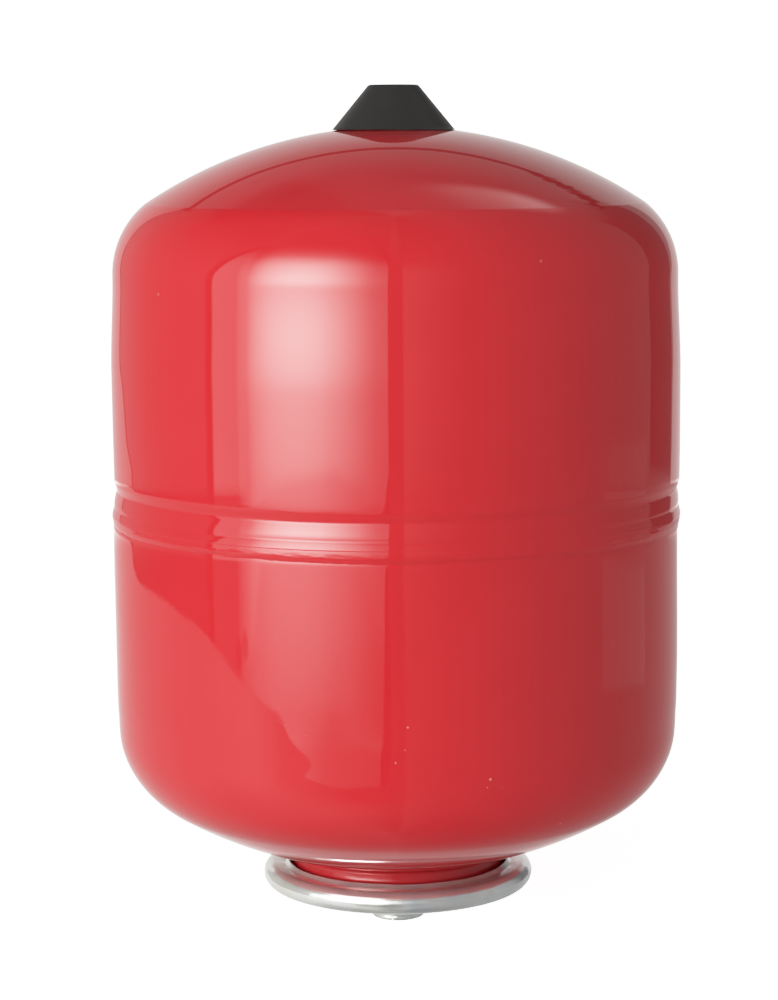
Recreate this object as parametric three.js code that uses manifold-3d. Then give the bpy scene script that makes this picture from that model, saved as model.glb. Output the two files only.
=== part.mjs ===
// Expansion vessel for heating water, 18 litres, hung on a G 3/4 nipple under its base.
//
// Millimetres, +Z up. The origin is the centre of the nipple's end face, on the
// vessel's axis: the plane that seats in the pipe fitting. All pieces are turned
// about Z, apart from the hexagon nut, the forked valve core and its coil spring.
//
// Build of the real thing:
//   two deep-drawn steel shells, the lower one slipped into the upper one's skirt
//   up to a rolled stop groove and closed by a girth weld;
//   a neck drawn out of the lower shell, its rim turned outwards;
//   a rubber bag membrane whose bead is squeezed between that rim and a plated
//   steel flange, the flange's edge being rolled over the rim for good;
//   a threaded nipple welded into the flange, with a grid at its inner end;
//   a gas charging valve through the crown with a spring-loaded core, a screwed
//   dust cap and a push-on conical cover.

import * as THREE from "three";
import { mergeVertices } from "three/addons/utils/BufferGeometryUtils.js";
import Module from "manifold-3d";

const wasm = await Module();
wasm.setup();

// ---- driving dimensions ----------------------------------------------------

const N_BIG = 48; // sides of the large turned pieces
const N_MID = 32; // sides of the nipple and the cover
const N_SMALL = 20; // sides of the valve's pieces
const N_TINY = 12; // sides of the valve core's pieces

const WALL = 1.0; // shell sheet
const R_BODY = 135.0; // outer radius of the cylinder
const R_CROWN = 218.0; // outer crown radius of both ends
const RK_TOP = 46.0; // outer knuckle radius, top end
const RK_BOT = 46.5; // outer knuckle radius, bottom end
const Z_TAN_TOP = 312.0; // tangent line of the top end
const Z_TAN_BOT = 100.0; // tangent line of the bottom end

// girth joint
const Z_SKIRT = 199.8; // lower edge of the upper shell's skirt
const Z_COLLAR = 210.0; // top edge of the lower shell's joggled collar
const Z_GROOVE = 212.7; // middle of the rolled stop groove
const R_GROOVE = 134.06; // outer radius at the groove's bottom
const R_COLLAR = 133.3; // outer radius of the joggled collar

// neck and clinched flange
const R_NECK = 51.0; // outer radius of the drawn neck
const R_NECK_FILLET = 2.5; // neck to dome
const R_RIM_FILLET = 2.0; // neck to rim
const Z_RIM_TOP = 26.3; // upper face of the neck's turned rim
const R_RIM = 60.0; // edge of the rim
const T_FLANGE = 1.5; // flange sheet
const R_FLANGE = 65.4; // outer radius of the rolled edge
const Z_FL_BOT = 16.9; // underside of the flange
const Z_FL_TOP = 28.1; // top of the rolled edge
const ROLL_BOT = 6.0; // outer radius of the lower bend
const ROLL_TOP = Z_FL_TOP - Z_FL_BOT - ROLL_BOT; // outer radius of the upper bend
const R_LIP_FOOT = 55.6; // where the turned-up edge starts
const LIP = 1.25; // rise and run of the turned-up edge

// connection nipple, G 3/4 male: major diameter 26.441, pitch 1.814
const R_G34 = 26.44 / 2;
const R_PORT = 10.2;
const Z_NIPPLE_TOP = 20.0;
const NIPPLE_CHAMFER = 0.85;
const WELD_LEG = 2.8;

// membrane
const T_MEMBRANE = 2.0;
const R_BAG = 104.0;
const Z_BAG_TOP = 258.0;

// charging valve, on the crown
const R_VALVE_HOLE = 5.3;
const R_STEM = 5.0; // M10 shank
const R_VG8 = 3.87; // 7.75 mm valve thread
const Z_HEAD_TOP = 379.7;
const Z_SHANK_TOP = 387.6;
const Z_STEM_TOP = 393.0;
const Z_STEM_BOT = 373.0;
const R_CORE_BORE = 2.65;
const R_LOW_BORE = 2.1;
const NUT_AF = 15.0;
const Z_CORE_TOP = 392.2;
const Z_CORE_BOT = 380.0;
const Z_SPRING_BOT = 385.5;
const Z_SPRING_TOP = 389.4;

// dust cap and cover
const Z_DUST_BOT = 389.05;
const Z_DUST_TOP = 395.6;
const R_DUST = 5.5;
const R_COVER_BASE = 28.65;
const R_COVER_TOP = 11.49; // where the cone would meet the top plane
const Z_COVER_BASE = 381.15;
const Z_COVER_TOP = 401.8;
const COVER_CORNER = 2.26;
const COVER_WALL = 1.8;

// ---- helpers ---------------------------------------------------------------

const P = (r, z) => [r, z];

// Points of an arc about (cr, cz), from angle a0 to a1 in degrees, in k steps.
function arc(cr, cz, rad, a0, a1, k) {
  const out = [];
  for (let i = 0; i <= k; i++) {
    const a = ((a0 + ((a1 - a0) * i) / k) * Math.PI) / 180;
    out.push(P(cr + rad * Math.cos(a), cz + rad * Math.sin(a)));
  }
  return out;
}

// A closed body turned about Z. The profile is a list of [radius, height]; it
// either starts and ends on the axis or is a loop, which is closed here.
function turned(profile, sides) {
  let pts = profile.map(([r, z]) => [Math.abs(r) < 1e-9 ? 0 : r, z]);
  pts = pts.filter(
    (p, i) => i === 0 || Math.hypot(p[0] - pts[i - 1][0], p[1] - pts[i - 1][1]) > 1e-4
  );
  let area = 0;
  for (let i = 0; i < pts.length; i++) {
    const [r0, z0] = pts[i];
    const [r1, z1] = pts[(i + 1) % pts.length];
    area += r0 * z1 - r1 * z0;
  }
  if (area < 0) pts.reverse();
  const onAxis = pts[0][0] === 0 && pts[pts.length - 1][0] === 0;
  if (!onAxis) pts.push(pts[0]);
  const g = new THREE.LatheGeometry(
    pts.map(([r, z]) => new THREE.Vector2(r, z)),
    sides
  );
  g.rotateX(Math.PI / 2);
  return solid(g);
}

// A three.js geometry as a manifold solid: only positions, shared vertices
// merged, triangles that fell together dropped.
function solid(g) {
  const bare = new THREE.BufferGeometry();
  bare.setAttribute("position", g.getAttribute("position").clone());
  if (g.index) bare.setIndex(g.index.clone());
  const m = mergeVertices(bare, 1e-4);
  const idx = m.index.array;
  const keep = [];
  for (let i = 0; i < idx.length; i += 3) {
    const [a, b, c] = [idx[i], idx[i + 1], idx[i + 2]];
    if (a !== b && b !== c && a !== c) keep.push(a, b, c);
  }
  return new wasm.Manifold(
    new wasm.Mesh({
      numProp: 3,
      vertProperties: new Float32Array(m.getAttribute("position").array),
      triVerts: new Uint32Array(keep),
    })
  );
}

function geometryOf(body) {
  const mesh = body.getMesh();
  const flat = new Float32Array(mesh.numVert * 3);
  for (let i = 0; i < mesh.numVert; i++)
    for (let k = 0; k < 3; k++)
      flat[3 * i + k] = mesh.vertProperties[i * mesh.numProp + k];
  const g = new THREE.BufferGeometry();
  g.setAttribute("position", new THREE.BufferAttribute(flat, 3));
  g.setIndex(new THREE.BufferAttribute(new Uint32Array(mesh.triVerts), 1));
  g.computeVertexNormals();
  return g;
}

const vessel = new THREE.Group();

function piece(name, body, color, roughness, metalness) {
  const mesh = new THREE.Mesh(
    geometryOf(body),
    new THREE.MeshStandardMaterial({ color, roughness, metalness })
  );
  mesh.name = name;
  vessel.add(mesh);
  return mesh;
}

const RED = 0xcf3338;
const WELD_RED = 0xb92c31;
const RUBBER = 0x1d1d1e;
const ZINC = 0xc3c6c4;
const BRASS = 0xc2a25a;
const STEEL = 0xb4b6b8;
const BLACK = 0x343232;

// ---- the two dished ends ---------------------------------------------------

// A torispherical end: crown sphere about (0, zCrown), knuckle about
// (R_BODY - rk, zTan). `up` is +1 for the top end, -1 for the bottom end.
function dished(rk, zTan, up) {
  const lean = Math.asin((R_BODY - rk) / (R_CROWN - rk)); // crown to knuckle
  const zCrown = zTan - up * (R_CROWN - rk) * Math.cos(lean);
  return { lean, zCrown, rk, zTan, up, apex: zCrown + up * R_CROWN };
}
const TOP = dished(RK_TOP, Z_TAN_TOP, 1);
const BOT = dished(RK_BOT, Z_TAN_BOT, -1);

// Points of a dished end's surface, `inset` inside the outer one, from the
// tangent line to radius rEnd on the crown.
function dishPoints(end, inset, rEnd, kKnuckle, kCrown) {
  const out = [];
  const rk = end.rk - inset;
  const rc = R_CROWN - inset;
  for (let i = 0; i <= kKnuckle; i++) {
    const a = ((Math.PI / 2 - end.lean) * i) / kKnuckle; // 0 at the tangent line
    out.push(
      P(R_BODY - end.rk + rk * Math.cos(a), end.zTan + end.up * rk * Math.sin(a))
    );
  }
  const last = Math.asin(rEnd / rc);
  for (let i = 1; i <= kCrown; i++) {
    const a = end.lean + ((last - end.lean) * i) / kCrown; // from the axis
    out.push(P(rc * Math.sin(a), end.zCrown + end.up * rc * Math.cos(a)));
  }
  return out;
}

// ---- shells ----------------------------------------------------------------

// Upper shell: skirt, rolled stop groove, cylinder, dished top with the valve's hole.
const upperOuter = [
  P(135.85, Z_SKIRT),
  P(135.9, 202.0),
  P(134.95, 207.6),
  P(R_GROOVE, Z_GROOVE - 0.6),
  P(R_GROOVE, Z_GROOVE + 0.6),
  P(R_BODY, 218.0),
  ...dishPoints(TOP, 0, R_VALVE_HOLE, 6, 6),
];
const upperInner = [
  ...dishPoints(TOP, WALL, R_VALVE_HOLE, 5, 4).reverse(),
  P(R_BODY - WALL, 217.8),
  P(R_GROOVE - WALL, Z_GROOVE + 0.4),
  P(R_GROOVE - WALL, Z_GROOVE - 0.4),
  P(133.85, 208.4),
  P(134.75, 202.4),
  P(134.75, Z_SKIRT),
];
piece("upper_shell", turned([...upperOuter, ...upperInner], N_BIG), RED, 0.28, 0.0);

// Lower shell: joggled collar, cylinder, dished bottom, drawn neck, turned rim.
const zNeckFillet =
  BOT.zCrown -
  Math.sqrt((R_CROWN + R_NECK_FILLET) ** 2 - (R_NECK + R_NECK_FILLET) ** 2);
const neckLean = Math.asin((R_NECK + R_NECK_FILLET) / (R_CROWN + R_NECK_FILLET));
const rNeckDome = R_CROWN * Math.sin(neckLean);
const rNeckDomeIn = (R_CROWN - WALL) * Math.sin(neckLean);
const filletEnd = 90 - (neckLean * 180) / Math.PI;
const rimCentre = [R_NECK + R_RIM_FILLET, Z_RIM_TOP + R_RIM_FILLET];
const lowerOuter = [
  P(R_COLLAR, Z_COLLAR),
  P(R_COLLAR, 200.4),
  P(134.2, 198.2),
  P(R_BODY, 195.9),
  ...dishPoints(BOT, 0, rNeckDome, 6, 4),
  ...arc(R_NECK + R_NECK_FILLET, zNeckFillet, R_NECK_FILLET, filletEnd, 180, 2),
  ...arc(rimCentre[0], rimCentre[1], R_RIM_FILLET, 180, 270, 2),
  P(R_RIM, Z_RIM_TOP),
];
const lowerInner = [
  P(R_RIM, Z_RIM_TOP - WALL),
  ...arc(rimCentre[0], rimCentre[1], R_RIM_FILLET + WALL, 270, 180, 2),
  ...arc(R_NECK + R_NECK_FILLET, zNeckFillet, R_NECK_FILLET + WALL, 180, filletEnd, 2),
  ...dishPoints(BOT, WALL, rNeckDomeIn, 5, 3).reverse(),
  P(R_BODY - WALL, 195.4),
  P(R_COLLAR - WALL, 199.9),
  P(R_COLLAR - WALL, Z_COLLAR),
];
piece("lower_shell", turned([...lowerOuter, ...lowerInner], N_BIG), RED, 0.28, 0.0);

// Girth weld: a bead run in the corner between the joggle and the skirt's edge.
piece(
  "girth_weld",
  turned(
    [
      P(135.3, 195.75),
      P(136.0, 197.2),
      P(135.9, 199.5),
      P(134.1, 199.5),
      P(134.5, 198.3),
    ],
    N_BIG
  ),
  WELD_RED,
  0.4,
  0.0
);

// ---- clinched flange and membrane ------------------------------------------

const rollB = [R_FLANGE - ROLL_BOT, Z_FL_BOT + ROLL_BOT];
const rollT = [R_FLANGE - ROLL_TOP, Z_FL_TOP - ROLL_TOP];
const slant = T_FLANGE * Math.SQRT1_2; // sheet thickness across the 45 degree edge
const R_FL_HOLE = R_G34 + 0.25;
const flange = [
  P(R_FL_HOLE, Z_FL_BOT),
  ...arc(rollB[0], rollB[1], ROLL_BOT, -90, 0, 3),
  ...arc(rollT[0], rollT[1], ROLL_TOP, 0, 90, 3),
  P(R_LIP_FOOT, Z_FL_TOP),
  P(R_LIP_FOOT - LIP, Z_FL_TOP + LIP),
  P(R_LIP_FOOT - LIP - slant, Z_FL_TOP + LIP - slant),
  P(R_LIP_FOOT - 0.62, Z_FL_TOP - T_FLANGE),
  ...arc(rollT[0], rollT[1], ROLL_TOP - T_FLANGE, 90, 0, 2),
  ...arc(rollB[0], rollB[1], ROLL_BOT - T_FLANGE, 0, -90, 3),
  P(R_FL_HOLE, Z_FL_BOT + T_FLANGE),
];
piece("counter_flange", turned(flange, N_BIG), ZINC, 0.35, 1.0);

// Bag membrane, part filled: thick bead in the clinch, throat through the neck,
// pear-shaped bag above it.
const zBeadBot = Z_FL_BOT + T_FLANGE + 0.3;
const zBeadTop = Z_RIM_TOP - WALL - 0.3;
const bagOuter = [
  P(59.6, zBeadBot),
  P(60.8, zBeadBot + 1.6),
  P(60.8, zBeadTop - 0.8),
  P(60.0, zBeadTop),
  ...arc(rimCentre[0], rimCentre[1], R_RIM_FILLET + WALL + 0.3, 270, 180, 2),
  P(49.4, 34.0),
  P(53.5, 41.0),
  P(84.0, 66.0),
  P(R_BAG, 122.0),
  P(R_BAG, 165.0),
  P(86.0, 222.0),
  P(46.0, 251.0),
  P(0, Z_BAG_TOP),
];
// inner face: the outer one moved in by the wall along its own normal
function inset(points, t) {
  return points.map(([r, z], i) => {
    const a = points[Math.max(i - 1, 0)];
    const b = points[Math.min(i + 1, points.length - 1)];
    const l = Math.hypot(b[0] - a[0], b[1] - a[1]);
    const n = [(b[1] - a[1]) / l, -(b[0] - a[0]) / l]; // points outwards
    return P(r === 0 ? 0 : r - n[0] * t, r === 0 ? z - t : z - n[1] * t);
  });
}
const bagInner = inset(bagOuter.slice(6), T_MEMBRANE).reverse();
piece(
  "membrane",
  turned([...bagOuter, ...bagInner, P(47.4, zBeadBot + 1.0), P(48.4, zBeadBot)].reverse(), N_BIG),
  RUBBER,
  0.7,
  0.0
);

// ---- connection nipple, its weld and its grid ------------------------------

piece(
  "connection_nipple",
  turned(
    [
      P(R_PORT + 0.5, 0),
      P(R_G34 - NIPPLE_CHAMFER, 0),
      P(R_G34, NIPPLE_CHAMFER),
      P(R_G34, Z_NIPPLE_TOP),
      P(R_PORT, Z_NIPPLE_TOP),
      P(R_PORT, 0.5),
    ],
    N_MID
  ),
  ZINC,
  0.35,
  1.0
);

piece(
  "nipple_weld",
  turned(
    [
      P(R_G34 + 0.25, Z_FL_BOT - 0.25),
      P(R_G34 + 0.25 + WELD_LEG, Z_FL_BOT - 0.25),
      P(R_G34 + 0.25 + WELD_LEG * 0.62, Z_FL_BOT - 0.25 - WELD_LEG * 0.62),
      P(R_G34 + 0.25, Z_FL_BOT - 0.25 - WELD_LEG),
    ],
    N_MID
  ),
  ZINC,
  0.5,
  1.0
);

// Grid pressed into the nipple's inner end; it keeps the bag out of the port.
let guard = turned(
  [
    P(0, 20.3),
    P(12.6, 20.3),
    P(12.6, 21.6),
    P(11.8, 22.2),
    P(0, 22.2),
  ],
  N_SMALL
).add(
  turned(
    [P(8.6, 17.0), P(9.9, 17.0), P(9.9, 20.6), P(8.6, 20.6)],
    N_SMALL
  )
);
for (let i = 0; i < 7; i++) {
  const drill = new THREE.CylinderGeometry(1.9, 1.9, 8, 8);
  drill.rotateX(Math.PI / 2);
  if (i) {
    const a = (i * Math.PI) / 3;
    drill.translate(5.6 * Math.cos(a), 5.6 * Math.sin(a), 21);
  } else drill.translate(0, 0, 21);
  guard = guard.subtract(solid(drill));
}
piece("membrane_guard", guard, STEEL, 0.4, 1.0);

// ---- charging valve --------------------------------------------------------

piece(
  "valve_stem",
  turned(
    [
      P(2.6, Z_STEM_BOT),
      P(4.4, Z_STEM_BOT),
      P(4.8, Z_STEM_BOT + 0.4),
      P(4.8, Z_HEAD_TOP - 3.2),
      P(9.0, Z_HEAD_TOP - 3.2),
      P(9.0, Z_HEAD_TOP),
      P(R_STEM, Z_HEAD_TOP),
      P(R_STEM, Z_SHANK_TOP - 0.5),
      P(R_STEM - 0.5, Z_SHANK_TOP),
      P(R_VG8, Z_SHANK_TOP),
      P(R_VG8, Z_STEM_TOP - 0.5),
      P(R_VG8 - 0.5, Z_STEM_TOP),
      P(R_CORE_BORE, Z_STEM_TOP),
      P(R_CORE_BORE, 385.8),
      P(R_LOW_BORE, 384.6),
      P(R_LOW_BORE, 376.4),
      P(2.6, 375.4),
    ],
    N_SMALL
  ),
  BRASS,
  0.3,
  1.0
);

piece(
  "valve_seal",
  turned(
    [P(5.3, Z_HEAD_TOP + 0.2), P(8.7, Z_HEAD_TOP + 0.2), P(8.7, Z_HEAD_TOP + 1.6), P(5.3, Z_HEAD_TOP + 1.6)],
    N_SMALL
  ),
  RUBBER,
  0.7,
  0.0
);

piece(
  "valve_washer",
  turned([P(5.3, 383.05), P(9.4, 383.05), P(9.4, 384.05), P(5.3, 384.05)], N_SMALL),
  STEEL,
  0.35,
  1.0
);

// Hexagon nut: a six-sided prism, its corners turned off above, bored through.
const hexShape = new THREE.Shape();
for (let i = 0; i < 6; i++) {
  const a = (i * Math.PI) / 3;
  const c = NUT_AF / Math.sqrt(3);
  if (i) hexShape.lineTo(c * Math.cos(a), c * Math.sin(a));
  else hexShape.moveTo(c, 0);
}
hexShape.closePath();
const hex = new THREE.ExtrudeGeometry(hexShape, { depth: 3.0, bevelEnabled: false });
hex.translate(0, 0, 384.3);
piece(
  "valve_nut",
  solid(hex)
    .intersect(turned([P(0, 384.2), P(9.2, 384.2), P(9.2, 386.4), P(7.6, 387.5), P(0, 387.5)], N_SMALL))
    .subtract(turned([P(0, 384), P(5.3, 384), P(5.3, 388), P(0, 388)], N_SMALL)),
  BRASS,
  0.3,
  1.0
);

// ---- valve core ------------------------------------------------------------

// Threaded plug with a two-pronged top, on a tube that ends in the seat.
let core = turned(
  [
    P(0.8, Z_CORE_BOT),
    P(1.8, Z_CORE_BOT),
    P(1.8, 386.8),
    P(2.45, 386.8),
    P(2.45, Z_CORE_TOP),
    P(1.45, Z_CORE_TOP),
    P(1.45, 385.4),
    P(0.8, 385.4),
  ],
  N_TINY
);
for (const side of [-1, 1]) {
  const flat = new THREE.BoxGeometry(6, 2, 1.6);
  flat.translate(0, side * 2.0, Z_CORE_TOP - 0.6);
  core = core.subtract(solid(flat));
}
piece("core_barrel", core, BRASS, 0.3, 1.0);

piece(
  "core_collar_seal",
  turned([P(1.87, 384.95), P(2.1, 384.95), P(2.5, 385.9), P(2.5, 386.65), P(1.87, 386.65)], N_TINY),
  0xb8322c,
  0.5,
  0.0
);

piece(
  "core_pin",
  turned(
    [
      P(0, 378.6),
      P(1.3, 378.6),
      P(1.7, 379.0),
      P(1.7, 379.4),
      P(0.5, 379.4),
      P(0.5, 389.5),
      P(1.2, 389.5),
      P(1.2, 390.1),
      P(0.5, 390.1),
      P(0.5, 391.9),
      P(0.85, 391.9),
      P(0.85, 392.6),
      P(0, 392.7),
    ],
    N_TINY
  ),
  BRASS,
  0.3,
  1.0
);

piece(
  "core_cup_seal",
  turned([P(0.57, 379.45), P(1.65, 379.45), P(1.65, 379.95), P(0.57, 379.95)], N_TINY),
  RUBBER,
  0.7,
  0.0
);

// Coil spring between the barrel's shoulder and the pin's collar.
class Coil extends THREE.Curve {
  constructor(r, z0, z1, turns) {
    super();
    Object.assign(this, { r, z0, z1, turns });
  }
  getPoint(t, target = new THREE.Vector3()) {
    const a = 2 * Math.PI * this.turns * t;
    return target.set(
      this.r * Math.cos(a),
      this.r * Math.sin(a),
      this.z0 + (this.z1 - this.z0) * t
    );
  }
}
const WIRE = 0.17;
const wire = new THREE.Shape();
for (let i = 0; i < 5; i++) {
  const a = (i * Math.PI * 2) / 5;
  if (i) wire.lineTo(WIRE * Math.cos(a), WIRE * Math.sin(a));
  else wire.moveTo(WIRE, 0);
}
wire.closePath();
piece(
  "core_spring",
  solid(
    new THREE.ExtrudeGeometry(wire, {
      steps: 50,
      bevelEnabled: false,
      extrudePath: new Coil(0.98, Z_SPRING_BOT + WIRE, Z_SPRING_TOP - WIRE, 5),
    })
  ),
  STEEL,
  0.3,
  1.0
);

// ---- dust cap and cover ----------------------------------------------------

// Knurled screw cap: a turned cup with twelve shallow grips cut in its side.
let dust = turned(
  [
    P(4.06, Z_DUST_BOT),
    P(R_DUST, Z_DUST_BOT),
    P(R_DUST, Z_DUST_TOP - 0.8),
    P(R_DUST - 0.8, Z_DUST_TOP),
    P(0, Z_DUST_TOP),
    P(0, Z_DUST_TOP - 1.3),
    P(4.06, Z_DUST_TOP - 1.3),
  ],
  N_SMALL
);
for (let i = 0; i < 12; i++) {
  const a = ((i + 0.5) * Math.PI) / 6;
  const grip = new THREE.BoxGeometry(1.0, 1.0, 4.2);
  grip.rotateZ(a);
  grip.translate(5.72 * Math.cos(a), 5.72 * Math.sin(a), Z_DUST_BOT + 3.4);
  dust = dust.subtract(solid(grip));
}
piece("dust_cap", dust, BLACK, 0.5, 0.0);

piece(
  "dust_cap_seal",
  turned([P(0, 393.35), P(3.85, 393.35), P(3.85, 394.1), P(0, 394.1)], N_SMALL),
  RUBBER,
  0.7,
  0.0
);

// Cover: hollow truncated cone resting on the crown, with a socket inside that
// is pushed over the valve's nut.
const half = Math.atan2(R_COVER_BASE - R_COVER_TOP, Z_COVER_TOP - 381.0); // cone's half angle
const cosH = Math.cos(half);
const sinH = Math.sin(half);
const coneR = (z, inside) =>
  R_COVER_TOP + ((Z_COVER_TOP - z) * sinH) / cosH - inside / cosH;
const zCorner = Z_COVER_TOP - COVER_CORNER;
const rCorner = coneR(zCorner, COVER_CORNER);
const zRoof = Z_COVER_TOP - 1.6;
const cover = [
  P(coneR(Z_COVER_BASE, 0), Z_COVER_BASE),
  ...arc(rCorner, zCorner, COVER_CORNER, (half * 180) / Math.PI, 90, 3),
  P(0, Z_COVER_TOP),
  P(0, zRoof),
  P(9.3, zRoof),
  P(9.3, 384.7),
  P(10.7, 384.7),
  P(10.7, zRoof - 1.4),
  P(coneR(zRoof - 1.4, COVER_WALL), zRoof - 1.4),
  P(coneR(381.5, COVER_WALL), 381.5),
];
piece("valve_cover", turned(cover, N_MID), BLACK, 0.55, 0.0);

export default vessel;
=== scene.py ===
import math

import bmesh
import bpy
import numpy as np
from mathutils import Euler, Matrix, Vector, noise


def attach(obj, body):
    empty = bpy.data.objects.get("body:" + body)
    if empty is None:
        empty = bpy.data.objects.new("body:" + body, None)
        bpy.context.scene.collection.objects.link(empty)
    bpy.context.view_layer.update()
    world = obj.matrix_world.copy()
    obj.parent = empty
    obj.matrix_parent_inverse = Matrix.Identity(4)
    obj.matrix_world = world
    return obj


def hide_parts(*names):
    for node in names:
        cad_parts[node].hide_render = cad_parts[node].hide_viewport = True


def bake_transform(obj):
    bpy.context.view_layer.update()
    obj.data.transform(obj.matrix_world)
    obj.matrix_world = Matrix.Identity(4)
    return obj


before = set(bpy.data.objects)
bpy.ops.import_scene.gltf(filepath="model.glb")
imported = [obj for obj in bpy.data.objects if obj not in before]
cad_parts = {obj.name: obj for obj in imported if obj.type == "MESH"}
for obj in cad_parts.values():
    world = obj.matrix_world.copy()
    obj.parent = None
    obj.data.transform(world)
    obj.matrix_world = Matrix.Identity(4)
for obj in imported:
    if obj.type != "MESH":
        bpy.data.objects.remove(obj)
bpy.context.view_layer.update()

MM = 0.001
D2R = math.pi / 180.0

# ============================================================================
# mesh helpers: everything below is written in millimetres and scaled on the way
# ============================================================================


def arc(cr, cz, rad, a0, a1, k):
    """Points of an arc about (cr, cz) from angle a0 to a1, in degrees, in k steps."""
    out = []
    for i in range(k + 1):
        a = (a0 + (a1 - a0) * i / k) * D2R
        out.append((cr + rad * math.cos(a), cz + rad * math.sin(a)))
    return out


def fillet(points, radii, k=5, loop=True):
    """A polyline with its corners rounded. radii holds one radius a point, 0 for a corner left alone."""
    out = []
    n = len(points)
    for i, (p, rad) in enumerate(zip(points, radii)):
        if rad <= 0 or (not loop and i in (0, n - 1)):
            out.append(p)
            continue
        a, b = points[i - 1], points[(i + 1) % n]
        p, a, b = np.array(p, float), np.array(a, float), np.array(b, float)
        u, v = a - p, b - p
        lu, lv = np.linalg.norm(u), np.linalg.norm(v)
        u, v = u / lu, v / lv
        c = float(np.clip(u @ v, -1, 1))
        half = math.acos(c) / 2
        if half > 1.56 or half < 0.01:
            out.append(tuple(p))
            continue
        cut = min(rad / math.tan(half), 0.49 * lu, 0.49 * lv)
        rad = cut * math.tan(half)
        w = u + v
        w = w / np.linalg.norm(w)
        centre = p + w * (rad / math.sin(half))
        s, e = p + u * cut - centre, p + v * cut - centre
        a0, a1 = math.atan2(s[1], s[0]), math.atan2(e[1], e[0])
        da = (a1 - a0 + math.pi) % (2 * math.pi) - math.pi
        for j in range(k + 1):
            t = a0 + da * j / k
            out.append((centre[0] + rad * math.cos(t), centre[1] + rad * math.sin(t)))
    return out


def split(points, step, loop=True):
    """The same polyline with its long runs cut into pieces of at most step."""
    out = []
    n = len(points)
    for i in range(n if loop else n - 1):
        a, b = points[i], points[(i + 1) % n]
        length = math.hypot(b[0] - a[0], b[1] - a[1])
        k = max(1, int(math.ceil(length / step)))
        for j in range(k):
            t = j / k
            out.append((a[0] + (b[0] - a[0]) * t, a[1] + (b[1] - a[1]) * t))
    if not loop:
        out.append(points[-1])
    return out


def mesh_object(name, verts, faces, sharp=32.0):
    mesh = bpy.data.meshes.new(name)
    mesh.from_pydata([tuple(v) for v in verts], [], faces)
    mesh.validate()
    bm = bmesh.new()
    bm.from_mesh(mesh)
    bmesh.ops.recalc_face_normals(bm, faces=bm.faces)
    if bm.calc_volume(signed=True) < 0:
        bmesh.ops.reverse_faces(bm, faces=bm.faces)
    bm.to_mesh(mesh)
    bm.free()
    mesh.polygons.foreach_set("use_smooth", [True] * len(mesh.polygons))
    mesh.set_sharp_from_angle(angle=sharp * D2R)
    mesh.update()
    obj = bpy.data.objects.new(name, mesh)
    bpy.context.scene.collection.objects.link(obj)
    return obj


def lathe(name, profile, n=192, warp=None, sharp=32.0):
    """A closed body turned about Z from a profile of (r, z) in mm: a loop, or a line from the axis to the axis."""
    pts = []
    for r, z in profile:
        r = 0.0 if abs(r) < 1e-7 else r
        if not pts or math.hypot(r - pts[-1][0], z - pts[-1][1]) > 1e-5:
            pts.append((r, z))
    line = pts[0][0] == 0.0 and pts[-1][0] == 0.0
    if not line and math.hypot(pts[0][0] - pts[-1][0], pts[0][1] - pts[-1][1]) < 1e-5:
        pts.pop()
    m = len(pts)
    theta = np.arange(n) * 2 * math.pi / n
    R = np.repeat(np.array([p[0] for p in pts])[None, :], n, 0)
    Z = np.repeat(np.array([p[1] for p in pts])[None, :], n, 0)
    T = np.repeat(theta[:, None], m, 1)
    if warp is not None:
        R, Z = warp(R.copy(), Z.copy(), T)
    X, Y = R * np.cos(T), R * np.sin(T)
    verts, index = [], np.zeros((n, m), int)
    for j in range(m):
        if pts[j][0] == 0.0:
            index[:, j] = len(verts)
            verts.append((0.0, 0.0, float(Z[:, j].mean()) * MM))
        else:
            for i in range(n):
                index[i, j] = len(verts)
                verts.append((X[i, j] * MM, Y[i, j] * MM, Z[i, j] * MM))
    faces = []
    for j in range(m if not line else m - 1):
        k = (j + 1) % m
        for i in range(n):
            i2 = (i + 1) % n
            ids = [int(index[i, j]), int(index[i2, j]), int(index[i2, k]), int(index[i, k])]
            face = []
            for v in ids:
                if v not in face:
                    face.append(v)
            if len(face) >= 3:
                faces.append(face)
    return mesh_object(name, verts, faces, sharp)


def resolved(obj, sharp=32.0):
    """The object with its modifiers worked into its mesh."""
    dg = bpy.context.evaluated_depsgraph_get()
    mesh = bpy.data.meshes.new_from_object(obj.evaluated_get(dg))
    obj.modifiers.clear()
    obj.data = mesh
    mesh.polygons.foreach_set("use_smooth", [True] * len(mesh.polygons))
    mesh.set_sharp_from_angle(angle=sharp * D2R)
    return obj


def cut(obj, tool, operation="DIFFERENCE"):
    m = obj.modifiers.new("cut", "BOOLEAN")
    m.operation = operation
    m.solver = "EXACT"
    m.object = tool
    bpy.context.view_layer.update()
    resolved(obj)
    bpy.data.objects.remove(tool)
    return obj


def joined(name, parts):
    """Several closed bodies as one object."""
    verts, faces = [], []
    for o in parts:
        base = len(verts)
        verts += [o.matrix_world @ v.co for v in o.data.vertices]
        faces += [[base + i for i in p.vertices] for p in o.data.polygons]
        bpy.data.objects.remove(o)
    return mesh_object(name, verts, faces)


def fnoise(x, y, z, octaves=3):
    return noise.fractal(Vector((x, y, z)), 0.6, 2.1, octaves)


def ring_noise(T, V, around, across, seed, octaves=3):
    """Seeded noise on a ring: `around` features per turn, scaled by `across` over V. Same shape as T."""
    out = np.zeros(T.shape)
    rad = around / (2 * math.pi)
    flatT, flatV = T.ravel(), V.ravel()
    res = np.empty(flatT.shape)
    for i, (t, v) in enumerate(zip(flatT, flatV)):
        res[i] = fnoise(rad * math.cos(t) + seed, rad * math.sin(t) - seed, v * across + 0.37 * seed, octaves)
    out[:] = res.reshape(T.shape)
    return out


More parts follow.
